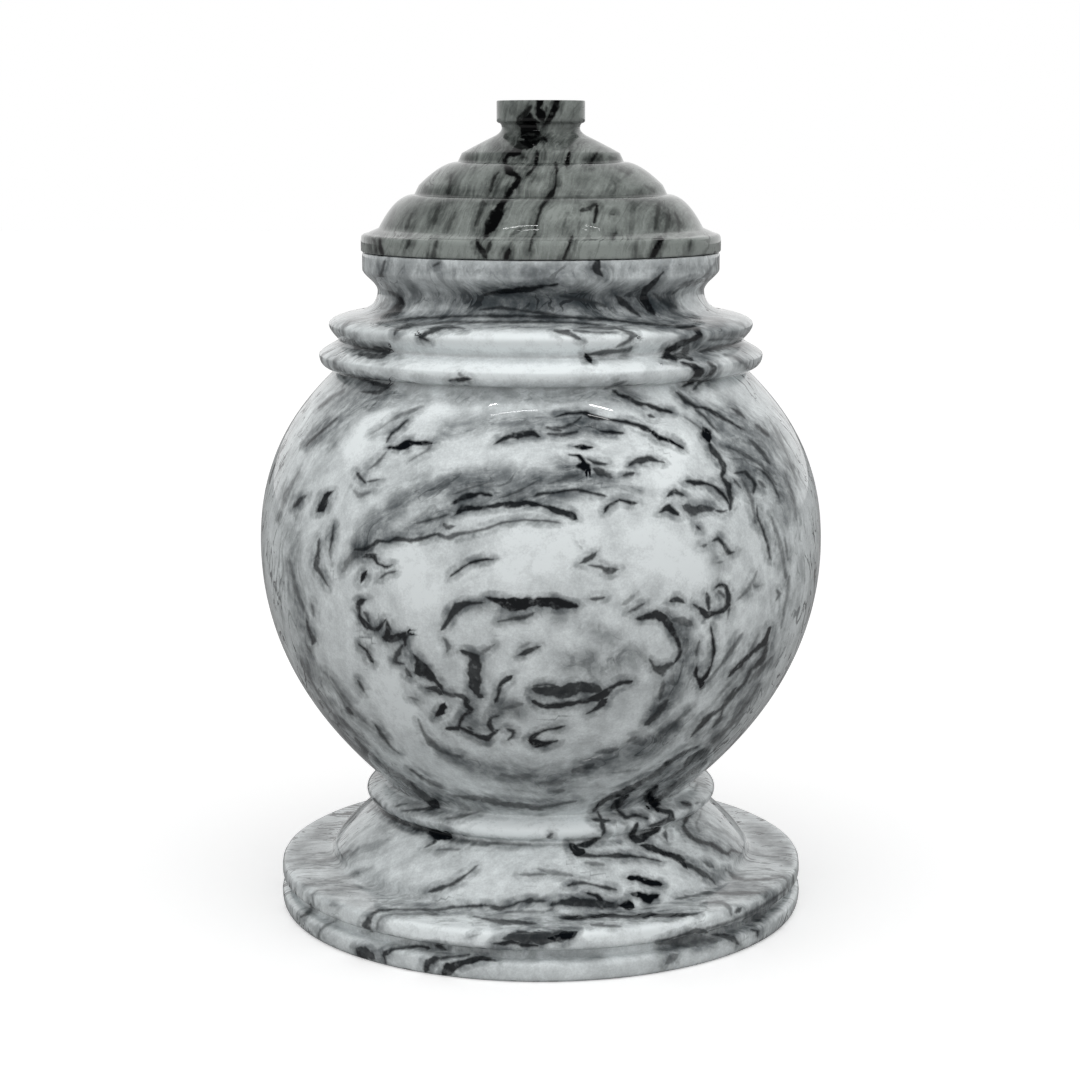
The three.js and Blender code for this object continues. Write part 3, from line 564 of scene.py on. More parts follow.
STEM_VEINS = {
    "left run, upper": (0.7, [(369, 752, 1.2), (378, 762, 2), (392, 773, 2), (404, 780, 1.6)]),
    "left run": (0.9, [(396, 774, 1.4), (412, 785, 3), (427, 798, 4), (436, 805, 5.4)]),
    "left run, return": (0.8, [(434, 808, 3), (424, 809, 1.8), (413, 810, 1.4), (402, 811, 1)]),
    "left run, inner": (0.85, [(410, 769, 1), (421, 777, 2.4), (431, 783, 2), (442, 788, 1)]),
    "left tick": (0.6, [(396, 806, 1), (406, 804, 1.6)]),
    "centre left": (0.7, [(452, 796, 1), (466, 797.5, 2.6), (481, 798, 2)]),
    "centre run": (0.8, [(482, 800, 2), (504, 804, 3.2), (524, 806, 2.8), (540, 808, 3), (560, 804, 1.4), (576, 801, 1)]),
    "cove, left": (0.7, [(447, 819, 1.2), (462, 816, 2.4), (478, 812, 1.4)]),
    "ring, left band": (0.8, [(374, 799, 1.6), (385, 813, 2.2), (399, 821, 2.4), (418, 828, 2.4), (432, 832, 3)]),
    "ring, left blob": (1.0, [(431, 832, 3), (439, 835, 6), (449, 837, 4.4)]),
    "ring, left hook": (0.85, [(436, 839, 2), (433, 843, 1.4), (425, 847, 1)]),
    "ring, spot": (0.85, [(547, 837.5, 1.4), (551, 835, 2.6)]),
    "ring, spot tail": (0.4, [(530, 841, 1), (540, 840, 1.4), (548, 838, 1)]),
    "below the ring": (0.55, [(437, 850, 1), (449, 849.5, 2), (460, 849, 1)]),
    "groove shade, left": (0.55, [(449, 838, 3), (470, 842, 3), (500, 844, 2.2), (530, 844.5, 1.4)]),
    "right cove run": (0.9, [(593, 819.5, 1.6), (602, 821, 2.8), (609, 821, 1.4)]),
    "right cove dots": (0.9, [(598, 812, 1.4), (602, 824, 2.4), (605, 831, 2.6), (602, 836, 1.4)]),
    "right ring, upper": (0.9, [(618, 811, 2.6), (626, 817, 2.4), (637, 815, 2), (647, 818.5, 2)]),
    "right ring, arc": (0.9, [(656, 809, 2.4), (671, 812.5, 2.4), (672, 819, 3), (662, 823, 2.4), (650, 826, 2.2)]),
    "right ring, foot": (0.95, [(637, 824, 2), (634, 830, 3), (632, 836, 3.4), (639, 840, 5), (647, 835, 3.4), (660, 827, 2.2)]),
    "right ring, tick": (0.8, [(666, 831, 1.4), (665, 835, 2.4), (667, 841, 1)]),
    "right ring, s": (0.85, [(694, 812, 1.2), (687, 818, 1.8), (683, 827, 2.4), (691, 837, 2), (705, 843, 2), (714, 845, 2),
                             (722, 852, 2.4), (728, 854, 2), (731, 850, 1.4), (741, 853, 1)]),
    "right ring, curl": (0.5, [(695, 790, 1), (697, 784, 1.4), (706, 787, 1.2)]),
    "right ring, dot": (0.9, [(682, 802, 1.4), (688, 804, 2.2), (691, 804.5, 1)]),
    "right ring, small dot": (0.7, [(697, 803.5, 1.6), (699, 803, 1)]),
    "right skirt, thin": (0.45, [(701, 812, 1), (696, 824, 1.2), (699, 832, 1)]),
    "right skirt, outer": (0.45, [(705, 823, 1), (723, 832, 1.3), (738, 842, 1)]),
    "skirt, blob": (1.0, [(571, 845, 3), (576, 851, 5.6), (583, 853, 3)]),
    "skirt, blob arm": (0.95, [(577, 846, 2), (590, 843, 3.6), (600, 838, 1.6)]),
    "skirt, line": (0.9, [(580, 855.4, 2), (598, 856, 1.6), (617, 856, 2.4), (630, 856, 1.4), (645, 857.6, 1.2), (661, 861, 1)]),
    "skirt, faint": (0.6, [(590, 864, 1), (598, 864.5, 1.8), (604, 865, 1)]),
    "skirt, right run": (0.95, [(641, 845.5, 2), (653, 848, 3.4), (662, 852, 3), (677, 858, 3), (683, 862, 3), (687, 868, 1.6)]),
    "skirt, right spot": (0.7, [(704, 862, 1), (709, 865, 2), (713, 867, 1)]),
    "skirt, left run": (0.85, [(430, 892, 1.4), (438, 889, 2.8), (450, 884.5, 1.8), (459, 880.5, 2.6), (468, 873, 1.2), (477, 866, 0.8)]),
}

FOOT_VEINS = {
    "far left edge": (0.5, [(285, 861, 0.8), (301, 859, 1.2), (319, 861, 1.4), (333, 858, 1.2), (352, 850, 1)]),
    "left plate line": (0.4, [(302, 884, 1), (320, 885, 1.2), (345, 878, 1.2), (358, 876, 0.8)]),
    "left edge hook": (0.65, [(338, 890.6, 0.8), (318, 890.4, 1.2), (312.5, 895, 1.4), (313.6, 906, 1)]),
    "left edge fall": (0.8, [(310.6, 904, 1), (311.6, 909.6, 2.4), (301, 917, 1.4)]),
    "edge spot": (0.35, [(330, 905, 1), (334, 904, 2), (337, 905, 1)]),
    "plate line": (0.85, [(368, 920, 3), (373, 914, 2), (379, 910, 1.6), (395, 909.6, 1.4), (437, 910, 1.4), (454, 907.6, 2),
                          (469, 906, 1.8), (484, 905.4, 1)]),
    "plate line, foot": (0.85, [(369, 919, 3.2), (366, 925, 3.4), (372, 931, 1.6)]),
    "plate line, inner": (0.6, [(376.6, 929, 1.2), (378, 921, 1.4), (384, 915.6, 1.2), (394, 913.6, 1), (438, 914.4, 0.8)]),
    "plate middle": (0.8, [(484, 905, 1), (493, 907, 2), (500, 909, 2.4), (510, 906, 1.4), (520, 902, 1.2), (531, 900.6, 2.8),
                           (545, 901, 1.6)]),
    "plate front left": (0.9, [(474, 916.6, 0.8), (490, 920, 2), (504, 921.6, 2.6), (520, 922.6, 2.4), (536, 924, 1.2)]),
    "plate front thin": (0.5, [(505, 912, 0.8), (522, 911.6, 1.4), (545, 912, 1)]),
    "plate upper": (0.6, [(520, 874.6, 1), (530, 875, 2), (545, 874, 1.6)]),
    "plate mass": (0.85, [(552, 905, 2.4), (565, 901.4, 3), (576, 903, 4.6), (590, 902, 4.6), (606, 905, 4), (618, 906, 3.6)]),
    "plate mass, end": (1.0, [(618, 906, 2), (628, 905.6, 4.6), (632, 907, 3)]),
    "plate mass, top": (0.95, [(588, 893, 2), (596, 895.6, 2.6), (601, 900, 3)]),
    "plate mass, tail": (0.6, [(553, 904, 1.4), (554, 910, 1.2), (546, 911.4, 1)]),
    "plate dashes": (0.85, [(567, 886, 1), (573, 884, 2), (584, 882.6, 1.6), (593, 884.4, 1), (603, 887, 2.2), (616, 890, 1)]),
    "plate dash, upper": (0.5, [(538, 869, 1), (550, 872, 2.4), (572, 876, 1.6)]),
    "plate dash, top": (0.6, [(585, 862.4, 1), (596, 863, 1.6), (604, 864.4, 1)]),
    "plate bar": (1.0, [(629, 878, 2.6), (638, 878.6, 2.8), (648, 882, 3), (661, 884, 2)]),
    "plate cup": (1.0, [(632, 894, 2), (640, 894.6, 4), (648, 899, 4.6), (656, 896.4, 2.4), (659, 895, 1)]),
    "plate front line": (0.95, [(560, 917.4, 1.2), (581, 917.6, 2.4), (604, 915.6, 2), (635, 916.8, 2), (650, 914.4, 3),
                                (667, 915.2, 2), (686, 914.6, 2), (698, 914, 0.8)]),
    "plate front low": (0.75, [(590, 924.4, 0.8), (603, 925, 1.8), (621, 926.6, 0.8)]),
    "right run": (0.8, [(680, 861, 1.6), (692, 867, 3), (703, 873, 2.4), (710, 878, 1.8), (715, 884, 0.8)]),
    "right plate line": (0.75, [(726, 870, 1), (734, 877, 2.2), (746, 880, 1.6), (771, 879, 1.6), (783, 877.4, 1)]),
    "right edge hook": (0.7, [(771, 876, 1), (782, 876.6, 1.2), (787.6, 881, 1.4), (787, 888, 1)]),
    "right plate stripe": (0.75, [(676, 899, 1), (692, 896, 1.4), (709, 892.8, 2), (731, 893.6, 1.6), (760, 892.6, 1.4)]),
    "right stripe, end": (0.55, [(760, 892, 1), (766, 892, 1.4), (766, 898, 1)]),
    "right low stripe": (0.6, [(700, 904, 1), (712, 902.6, 1.6), (724, 902.4, 1.8), (730, 908, 1.8), (731, 915, 1)]),
    "right edge spot": (0.8, [(736, 912, 2), (740, 909, 2.4)]),
    "dark patch": (0.8, [(507, 938, 5), (522, 937, 6.4), (540, 937.6, 6.4), (556, 937, 6.4), (572, 935, 4)]),
    "dark patch, core": (1.0, [(548, 938, 1.4), (558, 938, 5), (570, 935, 4.4), (577, 931.6, 1)]),
    "dark patch, corner": (0.95, [(494, 943.6, 1), (502, 943.4, 2.8), (510, 941, 3), (522, 945, 2), (538, 945.6, 1.2)]),
    "edge speck": (0.5, [(470, 937, 1), (475, 935.6, 1.6), (478, 935, 1)]),
    "groove, left": (0.6, [(318, 938, 1.4), (319, 931, 1.4), (326, 926, 1.4), (334, 922, 1)]),
    "low disc, blob": (0.85, [(359, 950, 4), (365, 953, 6), (372, 957, 4)]),
    "low disc, bracket": (0.9, [(386, 962, 2), (384, 955, 2.6), (391, 950, 2), (407, 947.4, 2), (417, 946, 1.6), (429, 948, 2)]),
    "low disc, crumbs": (0.9, [(436, 945, 1.6), (442, 947.6, 3), (446, 950, 1.4)]),
    "low disc, second bracket": (0.9, [(425.6, 970.4, 3), (427, 963, 3.2), (434, 958.6, 2.4), (453, 957, 1.4), (470, 954.8, 1)]),
    "low disc, corner mass": (0.95, [(445, 973, 4), (448, 970, 6.4), (455, 965.6, 4), (468, 961, 3), (481, 958.6, 2.8),
                                     (495, 960.4, 1)]),
    "low disc, right mass": (0.55, [(656, 942, 2), (670, 942, 5), (686, 940, 7), (704, 939.4, 6), (716, 941, 3)]),
    # These two are partly dark vein and partly painted shade in the groove between the two discs.
    "groove, right": (0.8, [(660, 941.6, 1.6), (676, 936.6, 1.8), (696, 930.4, 3), (706, 932, 2.4)]),
    "groove, far right": (0.65, [(706, 929, 1.4), (731, 922, 1.6), (748, 914, 1.8), (763, 906, 1.8), (777, 896, 1.4), (786, 889, 1)]),
    "low disc, right arc": (0.8, [(712, 934, 1.4), (725, 936, 2), (733, 938.6, 2.6), (738, 943.6, 1.6)]),
    "low disc, right tick": (0.85, [(751, 929.6, 1.2), (758, 931.4, 2), (757.6, 937, 1.2)]),
    "low disc, right spot": (0.5, [(667, 963, 3), (672, 958, 4), (677, 955, 2)]),
    "low disc, far right": (0.5, [(744, 921, 3), (754, 917, 7), (764, 912, 4)]),
}

# Soft grey clouds, given as the veins are, with the half width of their fall-off.
# Most are the stone's own grey; some are painted shade in the hollows and under the mouldings.
# An amount below nothing makes a paler patch: on the belly the stone's own, on the ring, the upper disc and the neck
# bands painted light.
CLOUDS_AND_PAINTED_LIGHT = {
    # Painted shade on the belly just under the neck bands.
    "belly top": (0.40, [(372, 404, 10), (430, 398, 8), (500, 396, 8), (580, 396, 8), (640, 398, 7)]),
    "belly top, left": (0.35, [(330, 440, 14), (350, 410, 12), (390, 398, 8)]),
    "plate edge, far left": (0.45, [(300, 850, 8), (330, 824, 7), (352, 808, 6)]),
    "plate edge, far right": (0.7, [(728, 806, 6), (756, 828, 8), (782, 850, 9)]),
    "plate, left streak": (0.4, [(296, 866, 3), (330, 862, 3.4), (352, 852, 3)]),
    "plate, left low streak": (0.35, [(300, 884, 3), (340, 880, 3.4), (372, 868, 3)]),
    "plate, right streak": (0.5, [(742, 848, 3), (766, 856, 3.4), (790, 864, 3)]),
    # Painted shade in the notch under the ring.
    "ring foot, painted shade": (0.55, [(372, 806, 3), (400, 826, 3.4), (440, 838, 3.4), (500, 845, 3.4), (580, 845, 3), (620, 842, 3)]),
    "arch": (0.75, [(360, 545, 9), (375, 524, 12), (397, 505, 13), (427, 491, 12), (458, 482, 12), (490, 478, 11),
                    (534, 476, 10), (575, 474, 9)]),
    "arch, inner": (0.5, [(395, 535, 8), (425, 522, 10), (460, 504, 9), (500, 497, 9), (545, 499, 8), (590, 491, 7)]),
    "arch, foot": (0.45, [(352, 558, 7), (366, 548, 9), (392, 536, 7)]),
    "top swirl": (0.45, [(428, 446, 6), (448, 429, 9), (480, 422, 10), (520, 420, 9), (552, 420, 8), (585, 424, 9), (612, 430, 6)]),
    "hook": (0.25, [(424, 407, 4), (400, 420, 6), (384, 436, 4)]),
    "right of the knot": (0.45, [(560, 462, 6), (580, 474, 9), (610, 480, 7), (640, 490, 4)]),
    "right shoulder": (0.55, [(690, 404, 8), (716, 428, 12), (740, 456, 14), (752, 484, 12)]),
    "right shoulder, outer": (0.4, [(728, 404, 10), (760, 440, 12), (778, 480, 12), (786, 520, 10)]),
    "right arch": (0.4, [(684, 505, 7), (706, 506, 8), (724, 500, 7)]),
    "right middle": (0.25, [(712, 548, 9), (722, 568, 8)]),
    "bar": (0.45, [(452, 612, 7), (475, 604, 7), (510, 610, 9), (545, 608, 8), (575, 606, 5)]),
    "under the bar": (0.3, [(556, 618, 7), (590, 626, 9), (616, 640, 10)]),
    "chain": (0.5, [(370, 622, 5), (390, 638, 8), (408, 654, 9), (430, 676, 8), (448, 692, 6)]),
    "column": (0.4, [(474, 654, 7), (475, 690, 8)]),
    "grey column": (0.8, [(668, 617, 7), (682, 634, 9), (690, 652, 10), (682, 672, 11), (670, 694, 11), (652, 716, 8)]),
    "centre": (0.4, [(566, 664, 12), (602, 662, 16), (636, 656, 10)]),
    "big loop": (0.45, [(530, 694, 7), (560, 694, 10), (600, 690, 9)]),
    "left of the loop": (0.45, [(480, 716, 10), (500, 708, 9), (522, 712, 8)]),
    "ring": (0.35, [(470, 706, 8), (476, 724, 9)]),
    "sweep": (0.7, [(440, 752, 5), (470, 764, 9), (510, 776, 13), (550, 780, 13), (585, 770, 13), (615, 758, 11),
                    (650, 744, 9), (672, 726, 7)]),
    "low right": (0.4, [(690, 716, 8), (664, 742, 9), (640, 758, 8)]),
    "right band": (0.6, [(716, 736, 7), (696, 762, 9), (668, 782, 9), (640, 800, 8), (612, 810, 7)]),
    "right limb": (0.35, [(774, 640, 8), (756, 680, 10), (730, 716, 10)]),
    "left limb": (0.35, [(296, 500, 8), (292, 560, 9), (298, 620, 9), (316, 680, 9)]),
    "left limb, low": (0.4, [(336, 722, 9), (366, 756, 9), (396, 786, 8)]),
    "left run": (0.5, [(396, 780, 7), (420, 798, 8), (440, 812, 7)]),
    "above the cove": (0.4, [(440, 798, 6), (480, 804, 8), (530, 806, 8), (580, 802, 6)]),
    "left shoulder": (0.35, [(352, 392, 8), (330, 412, 9), (310, 440, 8)]),
    # Painted shade on the belly just under the lower band.
    "band foot": (0.5, [(346, 380, 4), (372, 386, 6), (390, 388, 5)]),
    # The scotia's grey stone, with painted shade in its hollow under the lip.
    "scotia": (0.75, [(404, 296, 10), (440, 300, 12), (500, 302, 14), (560, 304, 14), (620, 304, 13), (668, 298, 12)]),
    "scotia, dark grey and painted shade": (0.7, [(476, 300, 10), (506, 297, 13), (540, 297, 14), (576, 300, 12), (600, 304, 8)]),
    "scotia, right": (0.6, [(616, 290, 9), (640, 296, 10), (660, 304, 10)]),
    "scotia, left": (0.4, [(384, 282, 7), (398, 300, 8), (388, 314, 6)]),
    "lip, middle": (0.4, [(510, 270, 9), (560, 272, 8)]),
    "lip": (0.35, [(380, 268, 9), (440, 272, 9), (600, 272, 9), (700, 268, 9)]),
    "scotia foot, left": (0.45, [(376, 318, 5), (398, 312, 6)]),
    "scotia foot, right": (0.7, [(640, 308, 6), (668, 314, 7), (694, 320, 7), (720, 324, 6)]),
    "right bands": (0.6, [(690, 330, 7), (700, 346, 9), (704, 366, 9), (712, 382, 7)]),
    "right band ends": (0.5, [(716, 326, 8), (740, 340, 8), (744, 358, 8)]),
    "upper band, top": (0.55, [(380, 322, 5), (430, 318, 5), (500, 317, 5), (600, 320, 5), (680, 326, 6)]),
    "top patch": (0.6, [(556, 430, 7), (584, 426, 9), (612, 432, 7)]),
    "left of the top patch": (0.35, [(500, 442, 7), (536, 436, 8)]),
    # Painted shade in the groove between the neck bands.
    "groove, left": (0.4, [(346, 348, 4), (376, 351, 5), (400, 356, 4)]),
    "lilac plate, left": (0.3, [(330, 896, 9), (380, 888, 13), (430, 900, 11)]),
    "plate middle": (0.4, [(500, 906, 7), (560, 902, 9), (620, 904, 8)]),
    "plate, right": (0.35, [(690, 868, 9), (740, 886, 9), (772, 896, 7)]),
    "skirt, left": (0.35, [(390, 820, 9), (376, 846, 10), (340, 862, 9)]),
    "skirt, right": (0.35, [(690, 822, 8), (712, 846, 8), (744, 858, 8)]),
    "dark patch": (0.45, [(506, 938, 6), (570, 935, 7)]),
    "lower disc, right": (0.5, [(662, 950, 8), (706, 944, 9), (748, 926, 9), (772, 906, 7)]),
    "lower disc, corner": (0.35, [(364, 950, 7), (382, 948, 6)]),
    "lower disc, middle": (0.3, [(430, 948, 7), (520, 955, 7), (600, 957, 6)]),
    # Paler stone and painted light on the faces of the ring and the upper disc that catch light from above.
    "ring, paler stone and painted light": (-1.3, [(470, 832, 7), (520, 834, 8), (570, 834, 8), (606, 832, 6)]),
    "upper disc, paler stone and painted light, left": (-1.3, [(398, 922, 6), (430, 927, 8), (480, 932, 8)]),
    "upper disc, paler stone and painted light, right": (-1.2, [(592, 932, 6), (630, 930, 7), (672, 923, 6), (700, 916, 5)]),
    # Painted light on the lower parts of the neck bands' front faces.
    "upper band, painted light": (-0.7, [(430, 338, 6), (500, 342, 7), (580, 342, 7), (640, 336, 5)]),
    "lower band, painted light": (-0.3, [(410, 368, 5), (470, 372, 7), (560, 373, 7), (640, 368, 5)]),
    "belly, white left": (-0.35, [(420, 590, 18), (408, 560, 16)]),
    "belly, white centre": (-0.4, [(520, 560, 22), (580, 536, 14)]),
    "belly, white right": (-0.4, [(650, 545, 20), (690, 570, 14)]),
    "belly, white shoulder": (-0.3, [(440, 402, 12), (380, 412, 10), (352, 450, 10)]),
    "belly, white top right": (-0.35, [(680, 450, 12), (664, 476, 10)]),
    "belly, white low left": (-0.35, [(386, 690, 14), (404, 716, 12)]),
}


class Outline:
    """A turned outline in millimetres, drawn from point to point."""

    def __init__(self, radius, height):
        self.points = [(radius, height)]

    @property
    def end(self):
        return self.points[-1]

    def follow(self, handles, step=OUTER_STEP):
        """A Bezier curve from the end through its handles; the last is its end."""
        knots = np.array([self.end, *handles], float)
        length = np.hypot(*np.diff(knots, axis=0).T).sum()
        count = max(3, math.ceil(length / step))
        for share in np.linspace(0.0, 1.0, count + 1)[1:]:
            row = knots
            while len(row) > 1:
                row = row[:-1] * (1.0 - share) + row[1:] * share
            self.points.append(tuple(row[0]))
        return self

    def line_to(self, radius, height, step=OUTER_STEP):
        return self.follow([(radius, height)], step)

    def line_by(self, radius_change, height_change, step=OUTER_STEP):
        radius, height = self.end
        return self.line_to(radius + radius_change, height + height_change, step)

    def turn_upright(self, radius, rise, lean=0.0):
        height = self.end[1]
        return self.follow([(radius, height + lean), (radius, height + rise)])

    def turn_level(self, radius, rise, lean=0.0):
        start, height = self.end
        return self.follow([(start, height + rise - lean), (radius, height + rise)])

    def cove_to(self, deep_radius, radius, rise):
        height = self.end[1]
        return self.follow([(deep_radius, height + rise / 2.0), (radius, height + rise)])

    def dome_to(self, radius, rise, shoulder_inset, shoulder_rise):
        start, height = self.end
        shoulder = (start - shoulder_inset, height + shoulder_rise)
        return self.follow([shoulder, (radius, height + rise)])

    def bulge_to(self, radius, rise, bulge):
        start = np.array(self.end)
        chord = np.array([radius - start[0], rise])
        proud = np.array([chord[1], -chord[0]]) * 2.0 * bulge / np.hypot(*chord)
        return self.follow([start + chord / 2.0 + proud, start + chord])


def rising(degrees):
    angle = math.radians(degrees)
    return np.array([math.cos(angle), math.sin(angle)])


def belly_knots(low_height):
    low = np.array([RING_TOP_RADIUS, low_height])
    girth = np.array([BELLY_RADIUS, low_height + BELLY_LOW_HEIGHT])
    high = np.array([BELLY_TOP_RADIUS, girth[1] + BELLY_HIGH_HEIGHT])
    return [
        [low, low + rising(BELLY_LOW_SLOPE) * BELLY_LOW_START_PULL, girth - (0.0, BELLY_LOW_END_PULL), girth],
        [girth, girth + (0.0, BELLY_HIGH_START_PULL), high + rising(-BELLY_HIGH_SLOPE) * BELLY_HIGH_END_PULL, high],
    ]


def draw_foot(outline):
    outline.line_to(REST_RADIUS, 0.0, HIDDEN_STEP)
    outline.turn_upright(LOWER_DISC_RADIUS, LOWER_DISC_LOW_EDGE)
    outline.turn_level(DISC_GROOVE_RADIUS, LOWER_DISC_HEIGHT - LOWER_DISC_LOW_EDGE)
    outline.line_by(0.0, DISC_GROOVE_HEIGHT)
    outline.turn_upright(UPPER_DISC_RADIUS, UPPER_DISC_LOW_EDGE)
    outline.line_by(0.0, UPPER_DISC_HEIGHT - UPPER_DISC_LOW_EDGE - UPPER_DISC_TOP_EDGE)
    outline.turn_level(UPPER_DISC_RADIUS - UPPER_DISC_TOP_EDGE, UPPER_DISC_TOP_EDGE)
    outline.line_to(SKIRT_LOW_RADIUS + SKIRT_FILLET_WIDTH, outline.end[1] + PLATE_RISE)


def draw_stem(outline):
    outline.turn_upright(SKIRT_LOW_RADIUS, SKIRT_FILLET_HEIGHT)
    outline.bulge_to(SKIRT_TOP_RADIUS, SKIRT_HEIGHT, SKIRT_BULGE)
    outline.cove_to(RING_COVE_RADIUS, SKIRT_TOP_RADIUS, RING_COVE_HEIGHT)
    outline.turn_upright(RING_RADIUS, RING_LOW_EDGE, RING_LOW_LEAN)
    outline.turn_level(RING_TOP_RADIUS, RING_HEIGHT - RING_COVE_HEIGHT - RING_LOW_EDGE, RING_TOP_LEAN)


def draw_neck(outline):
    outline.turn_upright(LOWER_BAND_RADIUS, LOWER_BAND_LOW_EDGE)
    outline.turn_level(BAND_GROOVE_RADIUS, LOWER_BAND_HEIGHT - LOWER_BAND_LOW_EDGE, LOWER_BAND_TOP_LEAN)
    outline.turn_upright(UPPER_BAND_RADIUS, UPPER_BAND_LOW_EDGE, UPPER_BAND_LOW_LEAN)
    outline.turn_level(UPPER_BAND_TOP_RADIUS, UPPER_BAND_HEIGHT - UPPER_BAND_LOW_EDGE, MOULDING_LEAN)
    outline.turn_upright(SCOTIA_RADIUS, SCOTIA_WAIST_HEIGHT, MOULDING_LEAN)
    outline.turn_level(LIP_LOW_RADIUS, SCOTIA_HEIGHT - SCOTIA_WAIST_HEIGHT, LIP_LEAN)
    outline.turn_upright(LIP_RADIUS, LIP_LOW_EDGE, LIP_LEAN)
    outline.line_by(0.0, LIP_HEIGHT - LIP_LOW_EDGE - SEAM_EDGE)
    outline.turn_level(LIP_RADIUS - SEAM_EDGE, SEAM_EDGE)


def belly_lining(belly):
    """The belly's outline moved inwards by its wall, as far up as the mouth is clear."""
    line = np.array(belly)
    along = np.gradient(line, axis=0)
    along /= np.hypot(*along.T)[:, None]
    lining = line + np.stack([-along[:, 1], along[:, 0]], axis=1) * BELLY_WALL
    return lining[lining[:, 0] > MOUTH_RADIUS]


def body_outline():
    outline = Outline(0.0, 0.0)
    draw_foot(outline)
    draw_stem(outline)
    foot_count = len(outline.points)
    for knots in belly_knots(outline.end[1]):
        outline.follow(knots[1:])
    belly = outline.points[foot_count - 1:]
    draw_neck(outline)
    seat_height = outline.end[1]
    outline.line_to(MOUTH_RADIUS + MOUTH_EDGE, seat_height, HIDDEN_STEP)
    outline.line_by(-MOUTH_EDGE, -MOUTH_EDGE, HIDDEN_STEP)
    outline.line_to(MOUTH_RADIUS, seat_height - LIP_HEIGHT - SCOTIA_HEIGHT, HIDDEN_STEP)
    every = round(HIDDEN_STEP / OUTER_STEP)
    for radius, height in belly_lining(belly)[::-every]:
        outline.points.append((radius, height))
    outline.line_to(0.0, outline.end[1], 2 * HIDDEN_STEP)
    return outline.points, seat_height


def lid_outline(seat_height):
    underside = seat_height + SEAT_GAP
    plug_radius = MOUTH_RADIUS - PLUG_CLEARANCE
    rim_radius = LIP_RADIUS + RIM_OVERHANG
    outline = Outline(0.0, underside - PLUG_DEPTH)
    outline.line_to(plug_radius - PLUG_EDGE, underside - PLUG_DEPTH, HIDDEN_STEP)
    outline.line_by(PLUG_EDGE, PLUG_EDGE, HIDDEN_STEP)
    outline.line_to(plug_radius, underside, HIDDEN_STEP)
    outline.line_to(rim_radius - SEAM_EDGE, underside, HIDDEN_STEP)
    outline.turn_upright(rim_radius, SEAM_EDGE)
    outline.line_by(0.0, RIM_HEIGHT - RIM_TOP_EDGE - SEAM_EDGE)
    outline.turn_level(rim_radius - RIM_TOP_EDGE, RIM_TOP_EDGE)
    outline.line_to(LOW_TIER_RADIUS, underside + RIM_HEIGHT + RIM_SLOPE_RISE)
    outline.dome_to(MID_STEP_RADIUS, LOW_TIER_HEIGHT, LOW_SHOULDER_INSET, LOW_SHOULDER_RISE)
    outline.line_by(MID_TIER_RADIUS - MID_STEP_RADIUS, MID_STEP_HEIGHT)
    outline.dome_to(TOP_STEP_RADIUS, MID_TIER_HEIGHT, MID_SHOULDER_INSET, MID_SHOULDER_RISE)
    outline.line_by(TOP_TIER_RADIUS - TOP_STEP_RADIUS, TOP_STEP_HEIGHT)
    outline.bulge_to(STEM_FOOT_RADIUS, TOP_TIER_HEIGHT, TOP_TIER_BULGE)
    outline.turn_upright(STEM_RADIUS, STEM_COVE_HEIGHT, MOULDING_LEAN)
    outline.turn_level(KNOB_RADIUS - KNOB_UNDERCUT, STEM_FLARE_HEIGHT)
    outline.line_by(KNOB_UNDERCUT, KNOB_UNDERCUT)
    outline.line_by(0.0, KNOB_HEIGHT - KNOB_UNDERCUT - KNOB_EDGE)
    outline.turn_level(KNOB_RADIUS - KNOB_EDGE, KNOB_EDGE)
    outline.line_to(0.0, outline.end[1], HIDDEN_STEP / 2)
    return outline.points


def turn_angles():
    """Angles round the axis, closely spaced in front, where the drawn veins are."""
    half = math.radians(FRONT_HALF_ANGLE)
    front = np.linspace(-half, half, FRONT_STEPS + 1)
    back = np.linspace(half, 2.0 * math.pi - half, BACK_STEPS + 1)[1:-1]
    return np.concatenate([front, back]) - math.pi / 2.0


def turned_mesh(name, points):
    """Turns an outline about Z. The first and last points are on the axis."""
    ring = np.array(points[1:-1]) * MM
    angles = turn_angles()
    around, along = len(angles), len(ring)
    x = ring[:, 0, None] * np.cos(angles)
    y = ring[:, 0, None] * np.sin(angles)
    z = np.repeat(ring[:, 1, None], around, axis=1)
    vertices = np.stack([x, y, z], axis=-1).reshape(-1, 3).tolist()
    vertices += [(0.0, 0.0, points[0][1] * MM), (0.0, 0.0, points[-1][1] * MM)]
    first_pole, last_pole = along * around, along * around + 1
    faces = []
    for i in range(along - 1):
        for j in range(around):
            k = (j + 1) % around
            faces.append((i * around + j, i * around + k, (i + 1) * around + k, (i + 1) * around + j))
    top = (along - 1) * around
    for j in range(around):
        k = (j + 1) % around
        faces.append((first_pole, k, j))
        faces.append((last_pole, top + j, top + k))
    mesh = bpy.data.meshes.new(name)
    mesh.from_pydata(vertices, [], faces)
    mesh.shade_smooth()
    piece = bpy.data.objects.new(name, mesh)
    bpy.context.scene.collection.objects.link(piece)
    return piece


def set_up_camera():
    """The photograph's camera, in front of the urn and a little above its middle."""
    camera = bpy.data.objects.new("camera", bpy.data.cameras.new("camera"))
    bpy.context.scene.collection.objects.link(camera)
    camera.data.sensor_width = SENSOR
    camera.data.lens = SENSOR * CAMERA_FOCUS / PHOTO_SIZE
    camera.data.clip_start = 0.05
    camera.location = Vector(CAMERA_PLACE) * MM
    camera.rotation_euler = (math.radians(90.0 - CAMERA_PITCH), 0.0, 0.0)
    bpy.context.scene.camera = camera
    return camera


